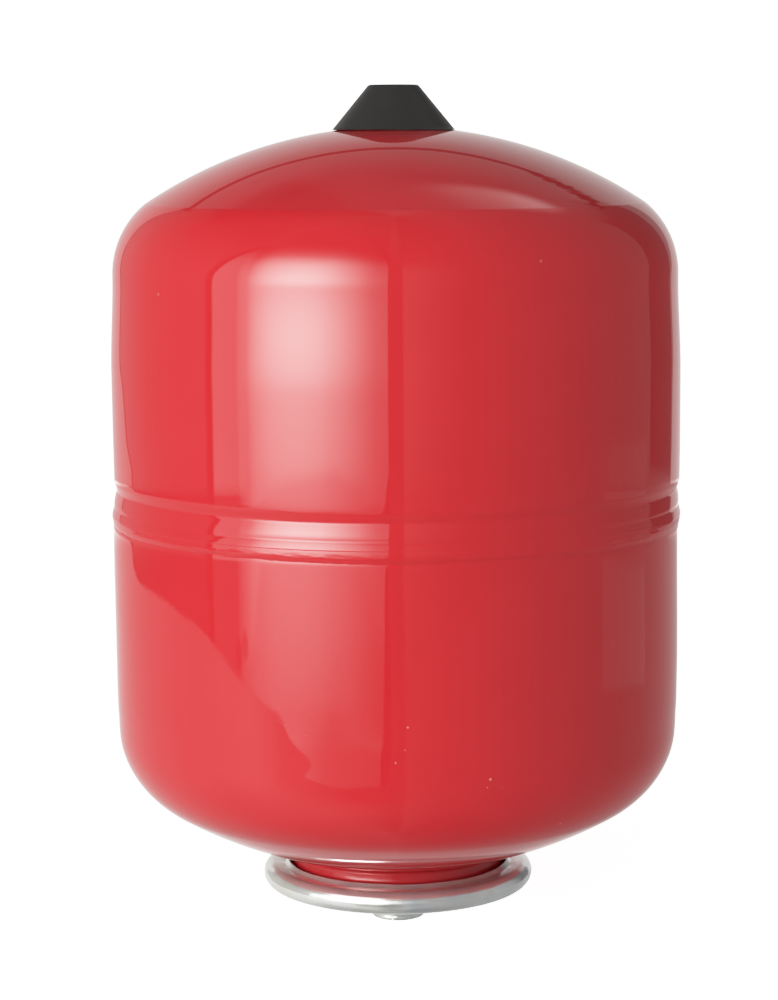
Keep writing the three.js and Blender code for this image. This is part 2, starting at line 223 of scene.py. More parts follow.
def smooth01(x):
    x = np.clip(x, 0, 1)
    return x * x * (3 - 2 * x)


# ============================================================================
# node helpers
# ============================================================================


class S:
    """A shader value: adds nodes as it is used in sums and products."""

    def __init__(self, g, s):
        self.g, self.s = g, s

    def _m(self, op, other=None, third=None, clamp=False):
        n = self.g.t.nodes.new("ShaderNodeMath")
        n.operation = op
        n.use_clamp = clamp
        self.g.put(n.inputs[0], self)
        if other is not None:
            self.g.put(n.inputs[1], other)
        if third is not None:
            self.g.put(n.inputs[2], third)
        return S(self.g, n.outputs[0])

    def __add__(self, o): return self._m("ADD", o)
    __radd__ = __add__
    def __sub__(self, o): return self._m("SUBTRACT", o)
    def __rsub__(self, o): return self.g.value(o)._m("SUBTRACT", self)
    def __mul__(self, o): return self._m("MULTIPLY", o)
    __rmul__ = __mul__
    def __truediv__(self, o): return self._m("DIVIDE", o)
    def __neg__(self): return self._m("MULTIPLY", -1.0)
    def sin(self): return self._m("SINE")
    def cos(self): return self._m("COSINE")
    def abs(self): return self._m("ABSOLUTE")
    def pow(self, o): return self._m("POWER", o)
    def fract(self): return self._m("FRACT")
    def max(self, o): return self._m("MAXIMUM", o)
    def min(self, o): return self._m("MINIMUM", o)
    def clamp(self): return self._m("ADD", 0.0, clamp=True)

    def step(self, a, b, lo=0.0, hi=1.0, kind="SMOOTHSTEP"):
        """lo up to a, hi from b, smooth between."""
        if a > b:
            a, b, lo, hi = b, a, hi, lo
        n = self.g.t.nodes.new("ShaderNodeMapRange")
        n.interpolation_type = kind
        n.clamp = True
        self.g.put(n.inputs["Value"], self)
        n.inputs["From Min"].default_value = a
        n.inputs["From Max"].default_value = b
        n.inputs["To Min"].default_value = lo
        n.inputs["To Max"].default_value = hi
        return S(self.g, n.outputs[0])

    def box(self, a, sa, b, sb):
        """1 between a and b, with soft edges of full width sa and sb."""
        return self.step(a - sa / 2, a + sa / 2) * self.step(b + sb / 2, b - sb / 2)

    def curve(self, stops, ease=False):
        """A piecewise line through (x, value) stops."""
        xs = [p[0] for p in stops]
        low = min(0.0, min(p[1] for p in stops))
        span = (max(p[1] for p in stops) - low) or 1.0
        n = self.g.t.nodes.new("ShaderNodeValToRGB")
        n.color_ramp.interpolation = "EASE" if ease else "LINEAR"
        r = n.color_ramp
        lo, hi = xs[0], xs[-1]
        while len(r.elements) < len(stops):
            r.elements.new(0.5)
        for e, (x, v) in zip(r.elements, stops):
            e.position = (x - lo) / (hi - lo)
        for e, (x, v) in zip(r.elements, stops):
            c = (v - low) / span
            e.color = (c, c, c, 1)
        self.g.put(n.inputs[0], self.step(lo, hi, 0, 1, "LINEAR"))
        return S(self.g, n.outputs[0]) * span + low


class G:
    def __init__(self, tree):
        self.t = tree
        self.t.nodes.clear()

    def put(self, socket, value):
        if isinstance(value, S):
            self.t.links.new(value.s, socket)
        elif isinstance(value, (int, float)):
            socket.default_value = float(value)
        else:
            v = list(value)
            socket.default_value = v if len(v) == len(socket.default_value) else v + [1.0]

    def value(self, v):
        if isinstance(v, S):
            return v
        n = self.t.nodes.new("ShaderNodeValue")
        n.outputs[0].default_value = float(v)
        return S(self, n.outputs[0])

    def new(self, kind, out=0, inputs=None, **props):
        n = self.t.nodes.new(kind)
        for k, v in props.items():
            setattr(n, k, v)
        for k, v in (inputs or {}).items():
            self.put(n.inputs[k], v)
        return S(self, n.outputs[out])

    def coords(self, which="Object"):
        n = self.t.nodes.new("ShaderNodeTexCoord")
        return S(self, n.outputs[which])

    def xyz(self, vec):
        n = self.t.nodes.new("ShaderNodeSeparateXYZ")
        self.put(n.inputs[0], vec)
        return [S(self, n.outputs[i]) for i in range(3)]

    def vec(self, x, y, z):
        n = self.t.nodes.new("ShaderNodeCombineXYZ")
        for i, v in enumerate((x, y, z)):
            self.put(n.inputs[i], v)
        return S(self, n.outputs[0])

    def noise(self, vec, scale, detail=2.0, rough=0.5, distortion=0.0):
        return self.new("ShaderNodeTexNoise", 0, {"Vector": vec, "Scale": scale, "Detail": detail,
                                                  "Roughness": rough, "Distortion": distortion})

    def voronoi(self, vec, scale, feature="F1", out="Distance", rand=1.0):
        n = self.t.nodes.new("ShaderNodeTexVoronoi")
        n.feature = feature
        self.put(n.inputs["Vector"], vec)
        self.put(n.inputs["Scale"], scale)
        self.put(n.inputs["Randomness"], rand)
        return S(self, n.outputs[out])

    def mix(self, fac, a, b):
        n = self.t.nodes.new("ShaderNodeMix")
        n.data_type = "RGBA"
        self.put(n.inputs[0], fac)
        self.put(n.inputs[6], a)
        self.put(n.inputs[7], b)
        return S(self, n.outputs[2])

    def bump(self, height, strength, distance, normal=None):
        ins = {"Height": height, "Strength": strength, "Distance": distance}
        if normal is not None:
            ins["Normal"] = normal
        return self.new("ShaderNodeBump", 0, ins)


def material(name):
    m = bpy.data.materials.new(name)
    m.use_nodes = True
    g = G(m.node_tree)
    out = g.t.nodes.new("ShaderNodeOutputMaterial")
    p = g.t.nodes.new("ShaderNodeBsdfPrincipled")
    g.t.links.new(p.outputs[0], out.inputs[0])
    return m, g, p


def polar(g):
    """x, y, z, r, angle in degrees from the front (-Y), positive towards +X; lengths in metres."""
    vec = g.coords("Object")
    x, y, z = g.xyz(vec)
    r = (x * x + y * y).pow(0.5)
    a = x._m("ARCTAN2", -y) * (180 / math.pi)
    return vec, x, y, z, r, a


# ============================================================================
# materials
# ============================================================================

PAINT = (0.455, 0.0200, 0.0258)


def enamel(name, weld=False):
    m, g, p = material(name)
    vec, x, y, z, r, a = polar(g)
    # long, very shallow unevenness of the sheet, then the fine orange peel of the stoved coat
    sheet = g.noise(vec, 9.0, 1.0, 0.4)
    peel = g.noise(vec, 420.0 if not weld else 260.0, 2.0, 0.45)
    # dust nibs under the coat: sparse cells, each with its own chance
    cell = g.voronoi(vec, 95.0)
    chance = g.xyz(g.voronoi(vec, 95.0, out="Color"))[0]
    nib = cell.step(0.10, 0.03) * chance.step(0.955, 0.965)
    cell2 = g.voronoi(vec, 430.0)
    chance2 = g.xyz(g.voronoi(vec, 430.0, out="Color"))[1]
    patch = (((a - 6.5) / 7.0).pow(2.0) + ((z - 0.124) / 0.0065).pow(2.0)).step(1.3, 0.2)
    patch = patch.max((((a - 2.0) / 3.0).pow(2.0) + ((z - 0.104) / 0.0150).pow(2.0)).step(1.3, 0.2) * 0.6)
    patch = patch.max((((a - 18.5) / 3.0).pow(2.0) + ((z - 0.096) / 0.0110).pow(2.0)).step(1.3, 0.2) * 0.7)
    size2 = g.xyz(g.voronoi(vec, 430.0, out="Color"))[2] * 0.22 + 0.06
    speck = (size2 - cell2).step(0.0, 0.05) * (chance2 + patch * 0.45).step(1.08, 1.12) * patch.step(0.0, 0.1)
    # faint dry scuffs, drawn out round the body
    long = g.vec(a * 0.30, z * 1500.0 + a * 0.5, 0.0)
    scuff_zone = (((a + 20.0) / 5.0).pow(2.0) + ((z - 0.1225) / 0.0095).pow(2.0)).step(1.4, 0.2)
    scuff = g.noise(long, 1.0, 2.0, 0.6).step(0.60, 0.72) * scuff_zone
    tone = g.noise(vec, 22.0, 3.0, 0.55)
    # painted shade: the base colour runs down to 70% below z 0.044 m, standing in for the light the flange and the body
    # keep off the neck; the coat there is also made duller
    neck_painted_shade = z.step(0.034, 0.044, 0.70, 1.0)
    base = g.mix(tone.step(0.3, 0.7), (PAINT[0] * 0.985, PAINT[1] * 0.96, PAINT[2] * 0.96),
                 (PAINT[0] * 1.012, PAINT[1] * 1.04, PAINT[2] * 1.04))
    base = g.mix((nib * 0.18 + speck * 0.45 + scuff * 0.07).clamp(), base, (0.80, 0.42, 0.40))
    # painted shade near the neck: the base colour is blended towards black
    base = g.mix(neck_painted_shade, (0.0, 0.0, 0.0), base)
    g.put(p.inputs["Base Color"], base)
    g.put(p.inputs["Roughness"], (g.noise(vec, 60.0, 2.0, 0.5) * 0.012 + 0.012 + scuff * 0.03 + speck * 0.2 + z.step(0.040, 0.034, 0.0, 0.10)).clamp())
    g.put(p.inputs["IOR"], 1.5)
    height = sheet * 0.9 + peel * 0.0045 + nib * 0.04 + speck * 0.03
    g.put(p.inputs["Normal"], g.bump(height, 1.0 if not weld else 1.0, 0.0006))
    return m


def zinc(name, streaks=True, tone=1.0):
    m, g, p = material(name)
    vec, x, y, z, r, a = polar(g)
    cloud = g.noise(vec, 38.0, 4.0, 0.6)
    film = g.noise(vec, 17.0, 2.0, 0.5, 0.6)
    base = g.mix(cloud.step(0.3, 0.7), (0.74 * tone, 0.76 * tone, 0.735 * tone), (0.88 * tone, 0.895 * tone, 0.875 * tone))
    base = g.mix(film.step(0.50, 0.68) * 0.35, base, (0.55 * tone, 0.68 * tone, 0.80 * tone))
    base = g.mix(film.step(0.46, 0.30) * 0.30, base, (0.80 * tone, 0.77 * tone, 0.60 * tone))
    g.put(p.inputs["Base Color"], base)
    g.put(p.inputs["Metallic"], 0.84)
    drawn = g.noise(g.vec(x * 260.0, y * 260.0, z * 60.0), 1.0, 3.0, 0.6)
    g.put(p.inputs["Roughness"], (drawn * 0.10 + cloud * 0.08 + 0.08).clamp())
    grain = g.noise(vec, 900.0, 3.0, 0.6)
    height = drawn * (0.16 if streaks else 0.08) + grain * 0.10
    g.put(p.inputs["Normal"], g.bump(height, 0.35, 0.0003))
    return m


def steel(name, color=(0.56, 0.56, 0.55), rough=0.26):
    m, g, p = material(name)
    vec, x, y, z, r, a = polar(g)
    cloud = g.noise(vec, 120.0, 3.0, 0.6)
    rings = g.noise(g.vec(r * 5200.0, z * 5200.0, a * 0.02), 1.0, 2.0, 0.6)
    c = color
    g.put(p.inputs["Base Color"], g.mix(cloud.step(0.3, 0.7), tuple(v * 0.9 for v in c), tuple(min(1, v * 1.08) for v in c)))
    g.put(p.inputs["Metallic"], 1.0)
    g.put(p.inputs["Roughness"], (rings * 0.14 + cloud * 0.08 + rough - 0.1).clamp())
    g.put(p.inputs["Normal"], g.bump(rings * 0.6 + g.noise(vec, 1500.0, 2.0) * 0.2, 0.25, 0.0001))
    return m


def rubber(name, color=(0.018, 0.018, 0.019), rough=0.62):
    m, g, p = material(name)
    vec, x, y, z, r, a = polar(g)
    bloom = g.noise(vec, 26.0, 4.0, 0.6)
    grain = g.noise(vec, 1400.0, 3.0, 0.6)
    c = color
    g.put(p.inputs["Base Color"], g.mix(bloom.step(0.35, 0.75), c, tuple(v * 1.9 + 0.006 for v in c)))
    g.put(p.inputs["Roughness"], (bloom * 0.2 + grain * 0.1 + rough - 0.15).clamp())
    parting = (y.abs() / 0.0006).step(1.0, 0.0)
    g.put(p.inputs["Normal"], g.bump(grain * 0.35 + bloom * 0.4 + parting * 0.6, 0.4, 0.0003))
    return m


def plastic(name, color=(0.0172, 0.0160, 0.0155), rough=0.46, scale=1.0):
    m, g, p = material(name)
    vec, x, y, z, r, a = polar(g)
    spark = g.noise(vec, 2100.0 * scale, 3.0, 0.65)
    pebble = g.voronoi(vec, 1500.0 * scale)
    flow = g.noise(g.vec(x * 40.0, y * 40.0, z * 14.0), 1.0, 3.0, 0.5)
    c = color
    base = g.mix(flow.step(0.3, 0.75), tuple(v * 0.90 for v in c), tuple(v * 1.12 for v in c))
    base = g.mix(spark.step(0.62, 0.80) * 0.25, base, tuple(min(1.0, v * 2.2) for v in c))
    g.put(p.inputs["Base Color"], base)
    g.put(p.inputs["Roughness"], (spark * 0.14 + flow * 0.06 + rough - 0.10).clamp())
    g.put(p.inputs["IOR"], 1.49)
    g.put(p.inputs["Normal"], g.bump(spark * 0.5 + pebble * 0.5, 0.45, 0.00012))
    return m


RED_UPPER = enamel("red_stove_enamel_upper")
RED_LOWER = enamel("red_stove_enamel_lower")
RED_WELD = enamel("red_stove_enamel_on_weld", weld=True)
ZINC = zinc("zinc_plate_flange")
ZINC_NIPPLE = zinc("zinc_plate_nipple", streaks=False, tone=0.95)
ZINC_WELD = zinc("zinc_plate_weld", streaks=False, tone=0.85)
STEEL = steel("pressed_steel")
WASHER = steel("plated_washer", (0.66, 0.67, 0.66), 0.28)
WIRE_STEEL = steel("spring_wire", (0.50, 0.50, 0.51), 0.24)
BRASS = steel("turned_brass", (0.71, 0.52, 0.23), 0.24)
BRASS_CORE = steel("turned_brass_core", (0.74, 0.56, 0.27), 0.20)
RUBBER = rubber("moulded_rubber")
RUBBER_SEAL = rubber("seal_rubber", (0.022, 0.022, 0.022), 0.55)
RED_SEAL = rubber("red_seal", (0.36, 0.035, 0.022), 0.5)
BLACK_COVER = plastic("black_cover_plastic")
BLACK_CAP = plastic("black_cap_plastic", (0.028, 0.028, 0.029), 0.40, 1.3)


def finish_piece(obj, node, mat, body=None):
    obj.data.materials.clear()
    obj.data.materials.append(mat)
    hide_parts(node)
    if body:
        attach(obj, body)
    return obj


# ============================================================================
# shells
# ============================================================================

WALL, R_BODY, R_CROWN = 1.0, 135.0, 218.0


def dished(rk, z_tan, up):
    lean = math.asin((R_BODY - rk) / (R_CROWN - rk))
    z_crown = z_tan - up * (R_CROWN - rk) * math.cos(lean)
    return dict(lean=lean, zc=z_crown, rk=rk, zt=z_tan, up=up)


BOT = dished(46.5, 100.0, -1)


def bottom_points(inset, r_end, kk, kc):
    """The lower end: knuckle, a touch fuller than a true arc, then the crown, out to r_end."""
    out = []
    rk, rc = BOT["rk"] - inset, R_CROWN - inset
    for i in range(kk + 1):
        a = (math.pi / 2 - BOT["lean"]) * i / kk
        full = -0.12 * math.sin(math.pi * i / kk) ** 2
        out.append((R_BODY - BOT["rk"] + (rk + full) * math.cos(a), BOT["zt"] - (rk + full) * math.sin(a)))
    last = math.asin(r_end / rc)
    for i in range(1, kc + 1):
        a = BOT["lean"] + (last - BOT["lean"]) * i / kc
        out.append((rc * math.sin(a), BOT["zc"] - rc * math.cos(a)))
    return out


def spline(points, step):
    """A smooth curve through (r, z) points, sampled at about `step` of arc length."""
    pts = np.array(points, float)
    t = np.concatenate([[0], np.cumsum(np.hypot(*np.diff(pts, axis=0).T))])
    n = len(pts)
    # tangents from the parabola through each point and its two neighbours
    m = np.zeros_like(pts)
    for i in range(1, n - 1):
        h0, h1 = t[i] - t[i - 1], t[i + 1] - t[i]
        d0, d1 = (pts[i] - pts[i - 1]) / h0, (pts[i + 1] - pts[i]) / h1
        m[i] = (d0 * h1 + d1 * h0) / (h0 + h1)
    m[0], m[-1] = (pts[1] - pts[0]) / (t[1] - t[0]), (pts[-1] - pts[-2]) / (t[-1] - t[-2])
    out = []
    for i in range(n - 1):
        h = t[i + 1] - t[i]
        k = max(1, int(math.ceil(h / step)))
        for j in range(k):
            s = j / k
            h00, h10 = 2 * s**3 - 3 * s**2 + 1, s**3 - 2 * s**2 + s
            h01, h11 = -2 * s**3 + 3 * s**2, s**3 - s**2
            out.append(tuple(h00 * pts[i] + h10 * h * m[i] + h01 * pts[i + 1] + h11 * h * m[i + 1]))
    out.append(tuple(pts[-1]))
    return out


# the upper end as pressed: crown, a tight turn where the crown die stops, the knuckle, then a slow draw into the wall
CROWN_R, CROWN_APEX, CREASE_R, CREASE_RAD = 213.0, 382.45, 117.95, 3.0
CREASE_END, KNUCKLE_RAD, KNUCKLE_END = 50.56, 42.72, 0.0
WALL_TOP_Z, WALL_TOP_R = 268.0, 135.22


def top_points(inset, r_end, fine):
    """Wall top to the hole in the crown, offset inwards by `inset`."""
    pts = []

    def put(r, z, a):
        pts.append((r - inset * math.cos(a), z - inset * math.sin(a)))

    b0 = math.pi / 2 - math.asin(CREASE_R / CROWN_R)
    zc = CROWN_APEX - CROWN_R
    n = 44 * fine
    last = math.acos(r_end / CROWN_R)
    for i in range(n + 1):
        a = last + (b0 - last) * i / n
        put(CROWN_R * math.cos(a), zc + CROWN_R * math.sin(a), a)
    cx = CREASE_R - CREASE_RAD * math.cos(b0)
    cz = zc + CROWN_R * math.sin(b0) - CREASE_RAD * math.sin(b0)
    b1, b2 = CREASE_END * D2R, KNUCKLE_END * D2R
    for i in range(1, 4 * fine + 1):
        a = b0 + (b1 - b0) * i / (4 * fine)
        put(cx + CREASE_RAD * math.cos(a), cz + CREASE_RAD * math.sin(a), a)
    kx = cx + (CREASE_RAD - KNUCKLE_RAD) * math.cos(b1)
    kz = cz + (CREASE_RAD - KNUCKLE_RAD) * math.sin(b1)
    for i in range(1, 18 * fine + 1):
        a = b1 + (b2 - b1) * i / (18 * fine)
        put(kx + KNUCKLE_RAD * math.cos(a), kz + KNUCKLE_RAD * math.sin(a), a)
    pr, pz = kx + KNUCKLE_RAD * math.cos(b2), kz + KNUCKLE_RAD * math.sin(b2)
    h = pz - WALL_TOP_Z
    for i in range(1, 8 * fine + 1):
        t = 1 - i / (8 * fine)
        r = (2 * t**3 - 3 * t**2 + 1) * WALL_TOP_R + (3 * t**2 - 2 * t**3) * pr - (t**3 - t**2) * math.tan(b2) * h
        put(r, WALL_TOP_Z + h * t, 0.0)
    return pts[::-1]


# the swaged band of the upper shell: skirt edge, bulge over the collar, flat, shoulder, groove, cylinder
BAND = [(135.80, 200.9), (135.62, 201.7), (135.40, 202.6), (135.18, 203.4), (135.00, 204.0), (134.93, 204.6), (134.92, 205.4),
        (134.89, 206.2), (134.82, 207.0), (134.70, 207.9), (134.56, 208.8), (134.40, 209.7), (134.23, 210.6), (134.06, 211.4),
        (133.96, 212.0), (133.94, 212.5), (134.02, 213.2), (134.22, 214.0), (134.50, 214.9), (134.72, 215.6), (134.88, 216.3),
        (134.95, 217.2), (134.98, 218.0), (135.00, 218.6)]


def make_upper_shell():
    skirt = fillet([(134.55, 199.9), (135.81, 199.9), (135.80, 200.9)], [0.0, 0.5, 0.0], 5, loop=False)
    wall = spline([(135.00, 218.6), (135.12, 230.0), (135.18, 250.0), (WALL_TOP_R, WALL_TOP_Z)], 5.0)[1:-1]
    dish = top_points(0.0, 5.6, 2)
    hole_z = dish[-1][1]
    outer = skirt[:-1] + spline(BAND, 0.3) + wall + dish + [(5.4, hole_z - 0.06), (5.3, hole_z - 0.25)]
    inner = top_points(WALL, 5.3, 1)[::-1]
    inner_band = [(r - WALL - 0.02, z) for r, z in spline(BAND, 0.9)][::-1]
    inner = inner + [(134.05, 240.0)] + inner_band + [(134.55, 200.2)]
    return lathe("upper_shell_skin", outer + inner, 288)


def make_lower_shell():
    z_f = BOT["zc"] - math.sqrt((R_CROWN + 2.5) ** 2 - 53.5**2)
    lean = math.asin(53.5 / 220.5)
    f_end = 90 - lean / D2R
    outer = [(133.3, 210.0), (133.3, 199.4), (133.7, 198.2), (134.3, 197.2), (134.85, 196.0), (134.975, 194.8),
             (134.985, 193.6), (134.99, 192.6), (134.99, 191.0)]
    outer += spline([(134.99, 191.0), (135.03, 172.0), (135.10, 152.0), (135.10, 132.0), (135.02, 117.0), (R_BODY, 104.0)], 4.0)[1:]
    outer += bottom_points(0, R_CROWN * math.sin(lean), 36, 36)
    # the wall draws in a little before the knuckle starts, as a pressed cup does
    outer = [(r - 0.52 * math.exp(-(((z - 98.5) / 9.0) ** 2)) - 0.12 * math.exp(-(((z - 63.0) / 7.0) ** 2)), z) for r, z in outer]
    outer += arc(53.5, z_f, 2.5, f_end, 180, 12)[1:]
    outer += arc(53.0, 28.3, 2.0, 180, 270, 10)
    outer += fillet([(53.0, 26.3), (60.0, 26.3), (60.0, 25.3)], [0, 0.3, 0], 3, loop=False)[1:]
    inner = arc(53.0, 28.3, 3.0, 270, 180, 10)
    inner += arc(53.5, z_f, 3.5, 180, f_end, 10)
    inner += bottom_points(WALL, 217.0 * math.sin(lean), 20, 16)[::-1]
    inner += [(134.0, 194.4), (133.2, 196.6), (132.3, 198.9), (132.3, 210.0)]
    return lathe("lower_shell_skin", outer + inner, 288)


def make_girth_weld():
    """The bead under the skirt: laid over the skirt edge, sagging down on to the wall, lumpy along its toe."""
    face = spline([(135.74, 201.1), (135.84, 200.6), (135.90, 200.1), (135.87, 199.6), (135.80, 199.1), (135.71, 198.4),
                   (135.61, 197.6), (135.49, 197.0), (135.34, 196.4), (135.20, 195.8), (135.10, 195.2),
                   (135.02, 194.6), (134.94, 193.8)], 0.22)
    base = face + [(134.55, 193.9), (134.30, 195.5), (134.10, 198.2), (134.05, 200.0), (134.60, 200.9)]

    def warp(R, Z, T):
        out = (R > 134.85) * smooth01((200.75 - Z) / 1.2) * smooth01((Z - 193.9) / 1.6)
        lump = ring_noise(T, Z, 150, 0.35, 3.1, 2)
        fine = ring_noise(T, Z, 560, 1.3, 7.7, 2)
        sag = ring_noise(T, Z * 0, 80, 0, 5.3, 3)
        belly = smooth01((199.4 - Z) / 1.8) * smooth01((Z - 195.2) / 1.4)
        # laid from the front the bead hangs fuller, its belly lower and its toe cut back sharply
        full = smooth01((-np.sin(T) - 0.20) / 0.45) * (R > 134.85)
        gain = np.interp(Z, [194.0, 194.6, 195.2, 195.8, 196.4, 197.0, 197.6, 198.4, 199.1, 199.6, 200.1, 200.6, 201.1],
                         [0.0, -0.01, 0.08, 0.26, 0.36, 0.325, 0.245, 0.145, 0.035, -0.06, -0.12, -0.10, -0.02])
        R = R + full * gain
        R = R + out * (0.055 * belly * lump + 0.025 * fine * belly + 0.04 * belly * sag)
        Z = Z + out * (0.35 * sag + 0.30 * lump) * smooth01((198.6 - Z) / 2.0)
        return np.minimum(R, 136.3), Z

    return lathe("girth_weld_bead", base, 1080, warp, sharp=60.0)


def lean_off(obj, shift):
    """The two halves meet a fraction of a millimetre out of line."""
    for v in obj.data.vertices:
        v.co.x += shift(v.co.z / MM) * MM
    return obj


def ease(x):
    x = min(max(x, 0.0), 1.0)
    return x * x * (3 - 2 * x)


upper = finish_piece(lean_off(make_upper_shell(), lambda z: 0.32 * ease((300 - z) / 85) * ease((z - 204) / 9)), "upper_shell", RED_UPPER, "vessel")
lower = finish_piece(lean_off(make_lower_shell(), lambda z: -0.42 * ease((z - 130) / 58)), "lower_shell", RED_LOWER, "vessel")
weld = finish_piece(make_girth_weld(), "girth_weld", RED_WELD, "vessel")

# ============================================================================
# clinched flange, nipple, grid
# ============================================================================


def make_flange():
    b, t = (59.4, 22.9), (60.2, 22.9)
    T_ = 1.5
    prof = fillet(
        [(13.47, 18.4), (13.47, 16.9), (18.0, 16.9)], [0, 0.35, 0], 3, loop=False
    )
    prof += split([(18.0, 16.9), (b[0], 16.9)], 4.0, loop=False)[1:-1]
    prof += arc(b[0], b[1], 6.0, -90, 0, 16)
    prof += arc(t[0], t[1], 5.2, 0, 90, 16)[1:]
    # the cut edge of the sheet stands up round the neck, with a fine burr along both of its corners
    lip = fillet([(58.0, 28.1), (55.85, 28.1), (55.55, 27.70), (55.30, 27.72), (53.80, 29.30), (53.35, 29.35),
                  (53.15, 29.10), (53.15, 28.2), (55.0, 26.6), (58.0, 26.6)],
                 [0, 0.16, 0.08, 0.10, 0.14, 0.12, 0.15, 0.3, 0.8, 0], 4, loop=False)
    prof += lip
    prof += arc(t[0], t[1], 5.2 - T_, 90, 0, 12)
    prof += arc(b[0], b[1], 6.0 - T_, 0, -90, 12)[1:]

    def warp(R, Z, Th):
        # the rolling wheels leave shallow flats and a slightly uneven edge on the clinch
        roll = smooth01((R - 59.0) / 3.0) * smooth01((Z - 17.5) / 3.0)
        R = R - roll * (0.05 + 0.05 * np.sin(Th * 34 + 0.8 * np.sin(Th * 5)))
        lip_w = smooth01((57.0 - R) / 1.6) * smooth01((Z - 25.5) / 2.0)
        Z = Z + lip_w * (0.10 * np.sin(Th * 3 + 0.7) + 0.06 * np.sin(Th * 11 + 1.9) + 0.03 * np.sin(Th * 29))
        return R, Z

    return lathe("counter_flange_plate", prof, 288, warp)


def thread(pitch, major, minor, z0, z1, start=0.0, hand=1.0):
    """Radius of a screw thread at (theta, z): flat-topped V with rounded crest and root, run out at z1."""

    def radius(T, Z):
        ph = ((Z - start) / pitch - hand * T / (2 * math.pi)) % 1.0
        tri = 1 - np.abs(2 * ph - 1)
        v = smooth01(np.clip((tri - 0.12) / 0.76, 0, 1)) * 0.35 + np.clip((tri - 0.10) / 0.80, 0, 1) * 0.65
        v = np.clip(v, 0, 1)
        fade = smooth01((z1 - Z) / (1.2 * pitch))
        r = minor + (major - minor) * v
        return major + (r - major) * fade

    return radius


def make_nipple():
    outer = [(12.35, 0.0)] + [(13.22, z) for z in np.arange(0.12, 16.9, 0.12)] + [(13.22, 18.2), (13.22, 19.8), (13.0, 20.0)]
    inner = [(10.6, 20.0), (10.2, 19.6)] + [(10.2, z) for z in np.arange(18.0, 1.0, -2.0)] + [(10.2, 0.6), (10.7, 0.05), (11.0, 0.0)]
    f = thread(1.8143, 13.22, 12.06, -1, 14.0)

    def warp(R, Z, T):
        side = R > 12.7
        chamfer = 12.30 + (Z - 0.0) * 1.0
        r = np.minimum(f(T, Z), chamfer)
        R = np.where(side & (Z < 16.8), r, R)
        return R, Z

    return lathe("connection_nipple_threaded", outer + inner, 200, warp, sharp=40.0)


def make_nipple_weld():
    base = [(13.50, 16.62), (16.15, 16.62), (16.2, 16.4), (15.55, 15.55), (14.75, 14.75), (13.85, 13.95), (13.5, 13.95)]
    base = split(fillet(base, [0, 0.1, 0.15, 0.9, 0.9, 0.2, 0], 4), 0.25)

    def warp(R, Z, T):
        face = smooth01((R - 13.6) / 0.5) * smooth01((16.6 - Z) / 0.4)
        k = np.sin(T * 34 + 1.1 * np.sin(T * 3) + (R - 14.8) ** 2 * 0.5)
        lump = ring_noise(T, Z, 30, 0.4, 2.2, 2)
        out = face * (0.10 * k + 0.16 * lump)
        return R + out * 0.7, Z - out * 0.7

    return lathe("nipple_weld_bead", base, 360, warp, sharp=60.0)


def make_guard():
    disc = lathe("membrane_guard_grid",
                 [(0, 20.3)] + fillet([(12.6, 20.3), (12.6, 21.5), (11.8, 22.2)], [0.2, 0.3, 0.5], 3, loop=False) + [(0, 22.2)], 128)
    for i in range(7):
        a = (i - 1) * 60 * D2R
        cx, cy = (0.0, 0.0) if i == 0 else (5.6 * math.cos(a), 5.6 * math.sin(a))
        prof = [(0, 17.5), (1.9, 17.5), (1.9, 21.75), (2.35, 22.6), (0, 22.6)]
        tool = lathe("drill", prof, 48)
        tool.location = (cx * MM, cy * MM, 0)
        bpy.context.view_layer.update()
        cut(disc, tool)
    ring = lathe("spigot", fillet([(8.6, 17.0), (9.9, 17.0), (9.9, 20.28), (8.6, 20.28)], [0.2, 0.4, 0, 0], 3), 96)
    return joined("membrane_guard_grid2", [disc, ring])


flange = finish_piece(make_flange(), "counter_flange", ZINC, "vessel")
nipple = finish_piece(make_nipple(), "connection_nipple", ZINC_NIPPLE, "vessel")
nweld = finish_piece(make_nipple_weld(), "nipple_weld", ZINC_WELD, "vessel")
guard = make_guard()
guard.name = "membrane_guard_grid"
guard = finish_piece(guard, "membrane_guard", STEEL, "vessel")

# ============================================================================
# membrane
# ============================================================================


def make_membrane():
    bead = fillet([(48.6, 18.7), (59.8, 18.7), (60.8, 20.3), (60.8, 24.0), (60.0, 25.0), (53.2, 25.0)],
                  [0.8, 1.2, 1.0, 1.0, 0.6, 0.0], 4, loop=False)
    body = spline([(49.75, 28.3), (49.5, 31.0), (49.7, 35.0), (53.4, 41.0), (67.0, 51.5), (84.0, 66.0), (97.0, 92.0),
                   (103.6, 122.0), (103.8, 165.0), (98.5, 196.0), (86.0, 222.0), (68.0, 241.0), (46.0, 251.5), (23.0, 256.8), (0.0, 258.0)], 3.0)
    throat = arc(53.0, 28.3, 3.3, 270, 182, 6)
    outer = bead[:-1] + throat + body[1:]
    line = bead[-2:] + throat + body[1:]
    inner = []
    seq = throat + body[1:]
    for i, (r, z) in enumerate(seq):
        a, b = seq[max(i - 1, 0)], seq[min(i + 1, len(seq) - 1)]
        length = math.hypot(b[0] - a[0], b[1] - a[1])
        nr, nz = (b[1] - a[1]) / length, -(b[0] - a[0]) / length
        if r == 0:
            inner.append((0.0, z - 2.0))
        elif i >= 3:
            inner.append((max(r - nr * 2.0, 0.05), z - nz * 2.0))
    inner = inner[::-1] + [(47.5, 22.5), (47.5, 19.7)]

    def warp(R, Z, T):
        # the part-filled bag hangs in shallow lobes and is not quite round
        w = smooth01((Z - 45) / 60) * smooth01((262 - Z) / 30)
        lobes = 0.55 * np.sin(3 * T + 0.6) * np.sin(Z * 0.021) + 0.35 * np.sin(5 * T + 1.7 + Z * 0.012)
        return R - w * (1.0 + lobes) * 0.9 * (R > 1), Z

    o = lathe("membrane_bag", outer + inner, 160, warp, sharp=50.0)
    return o


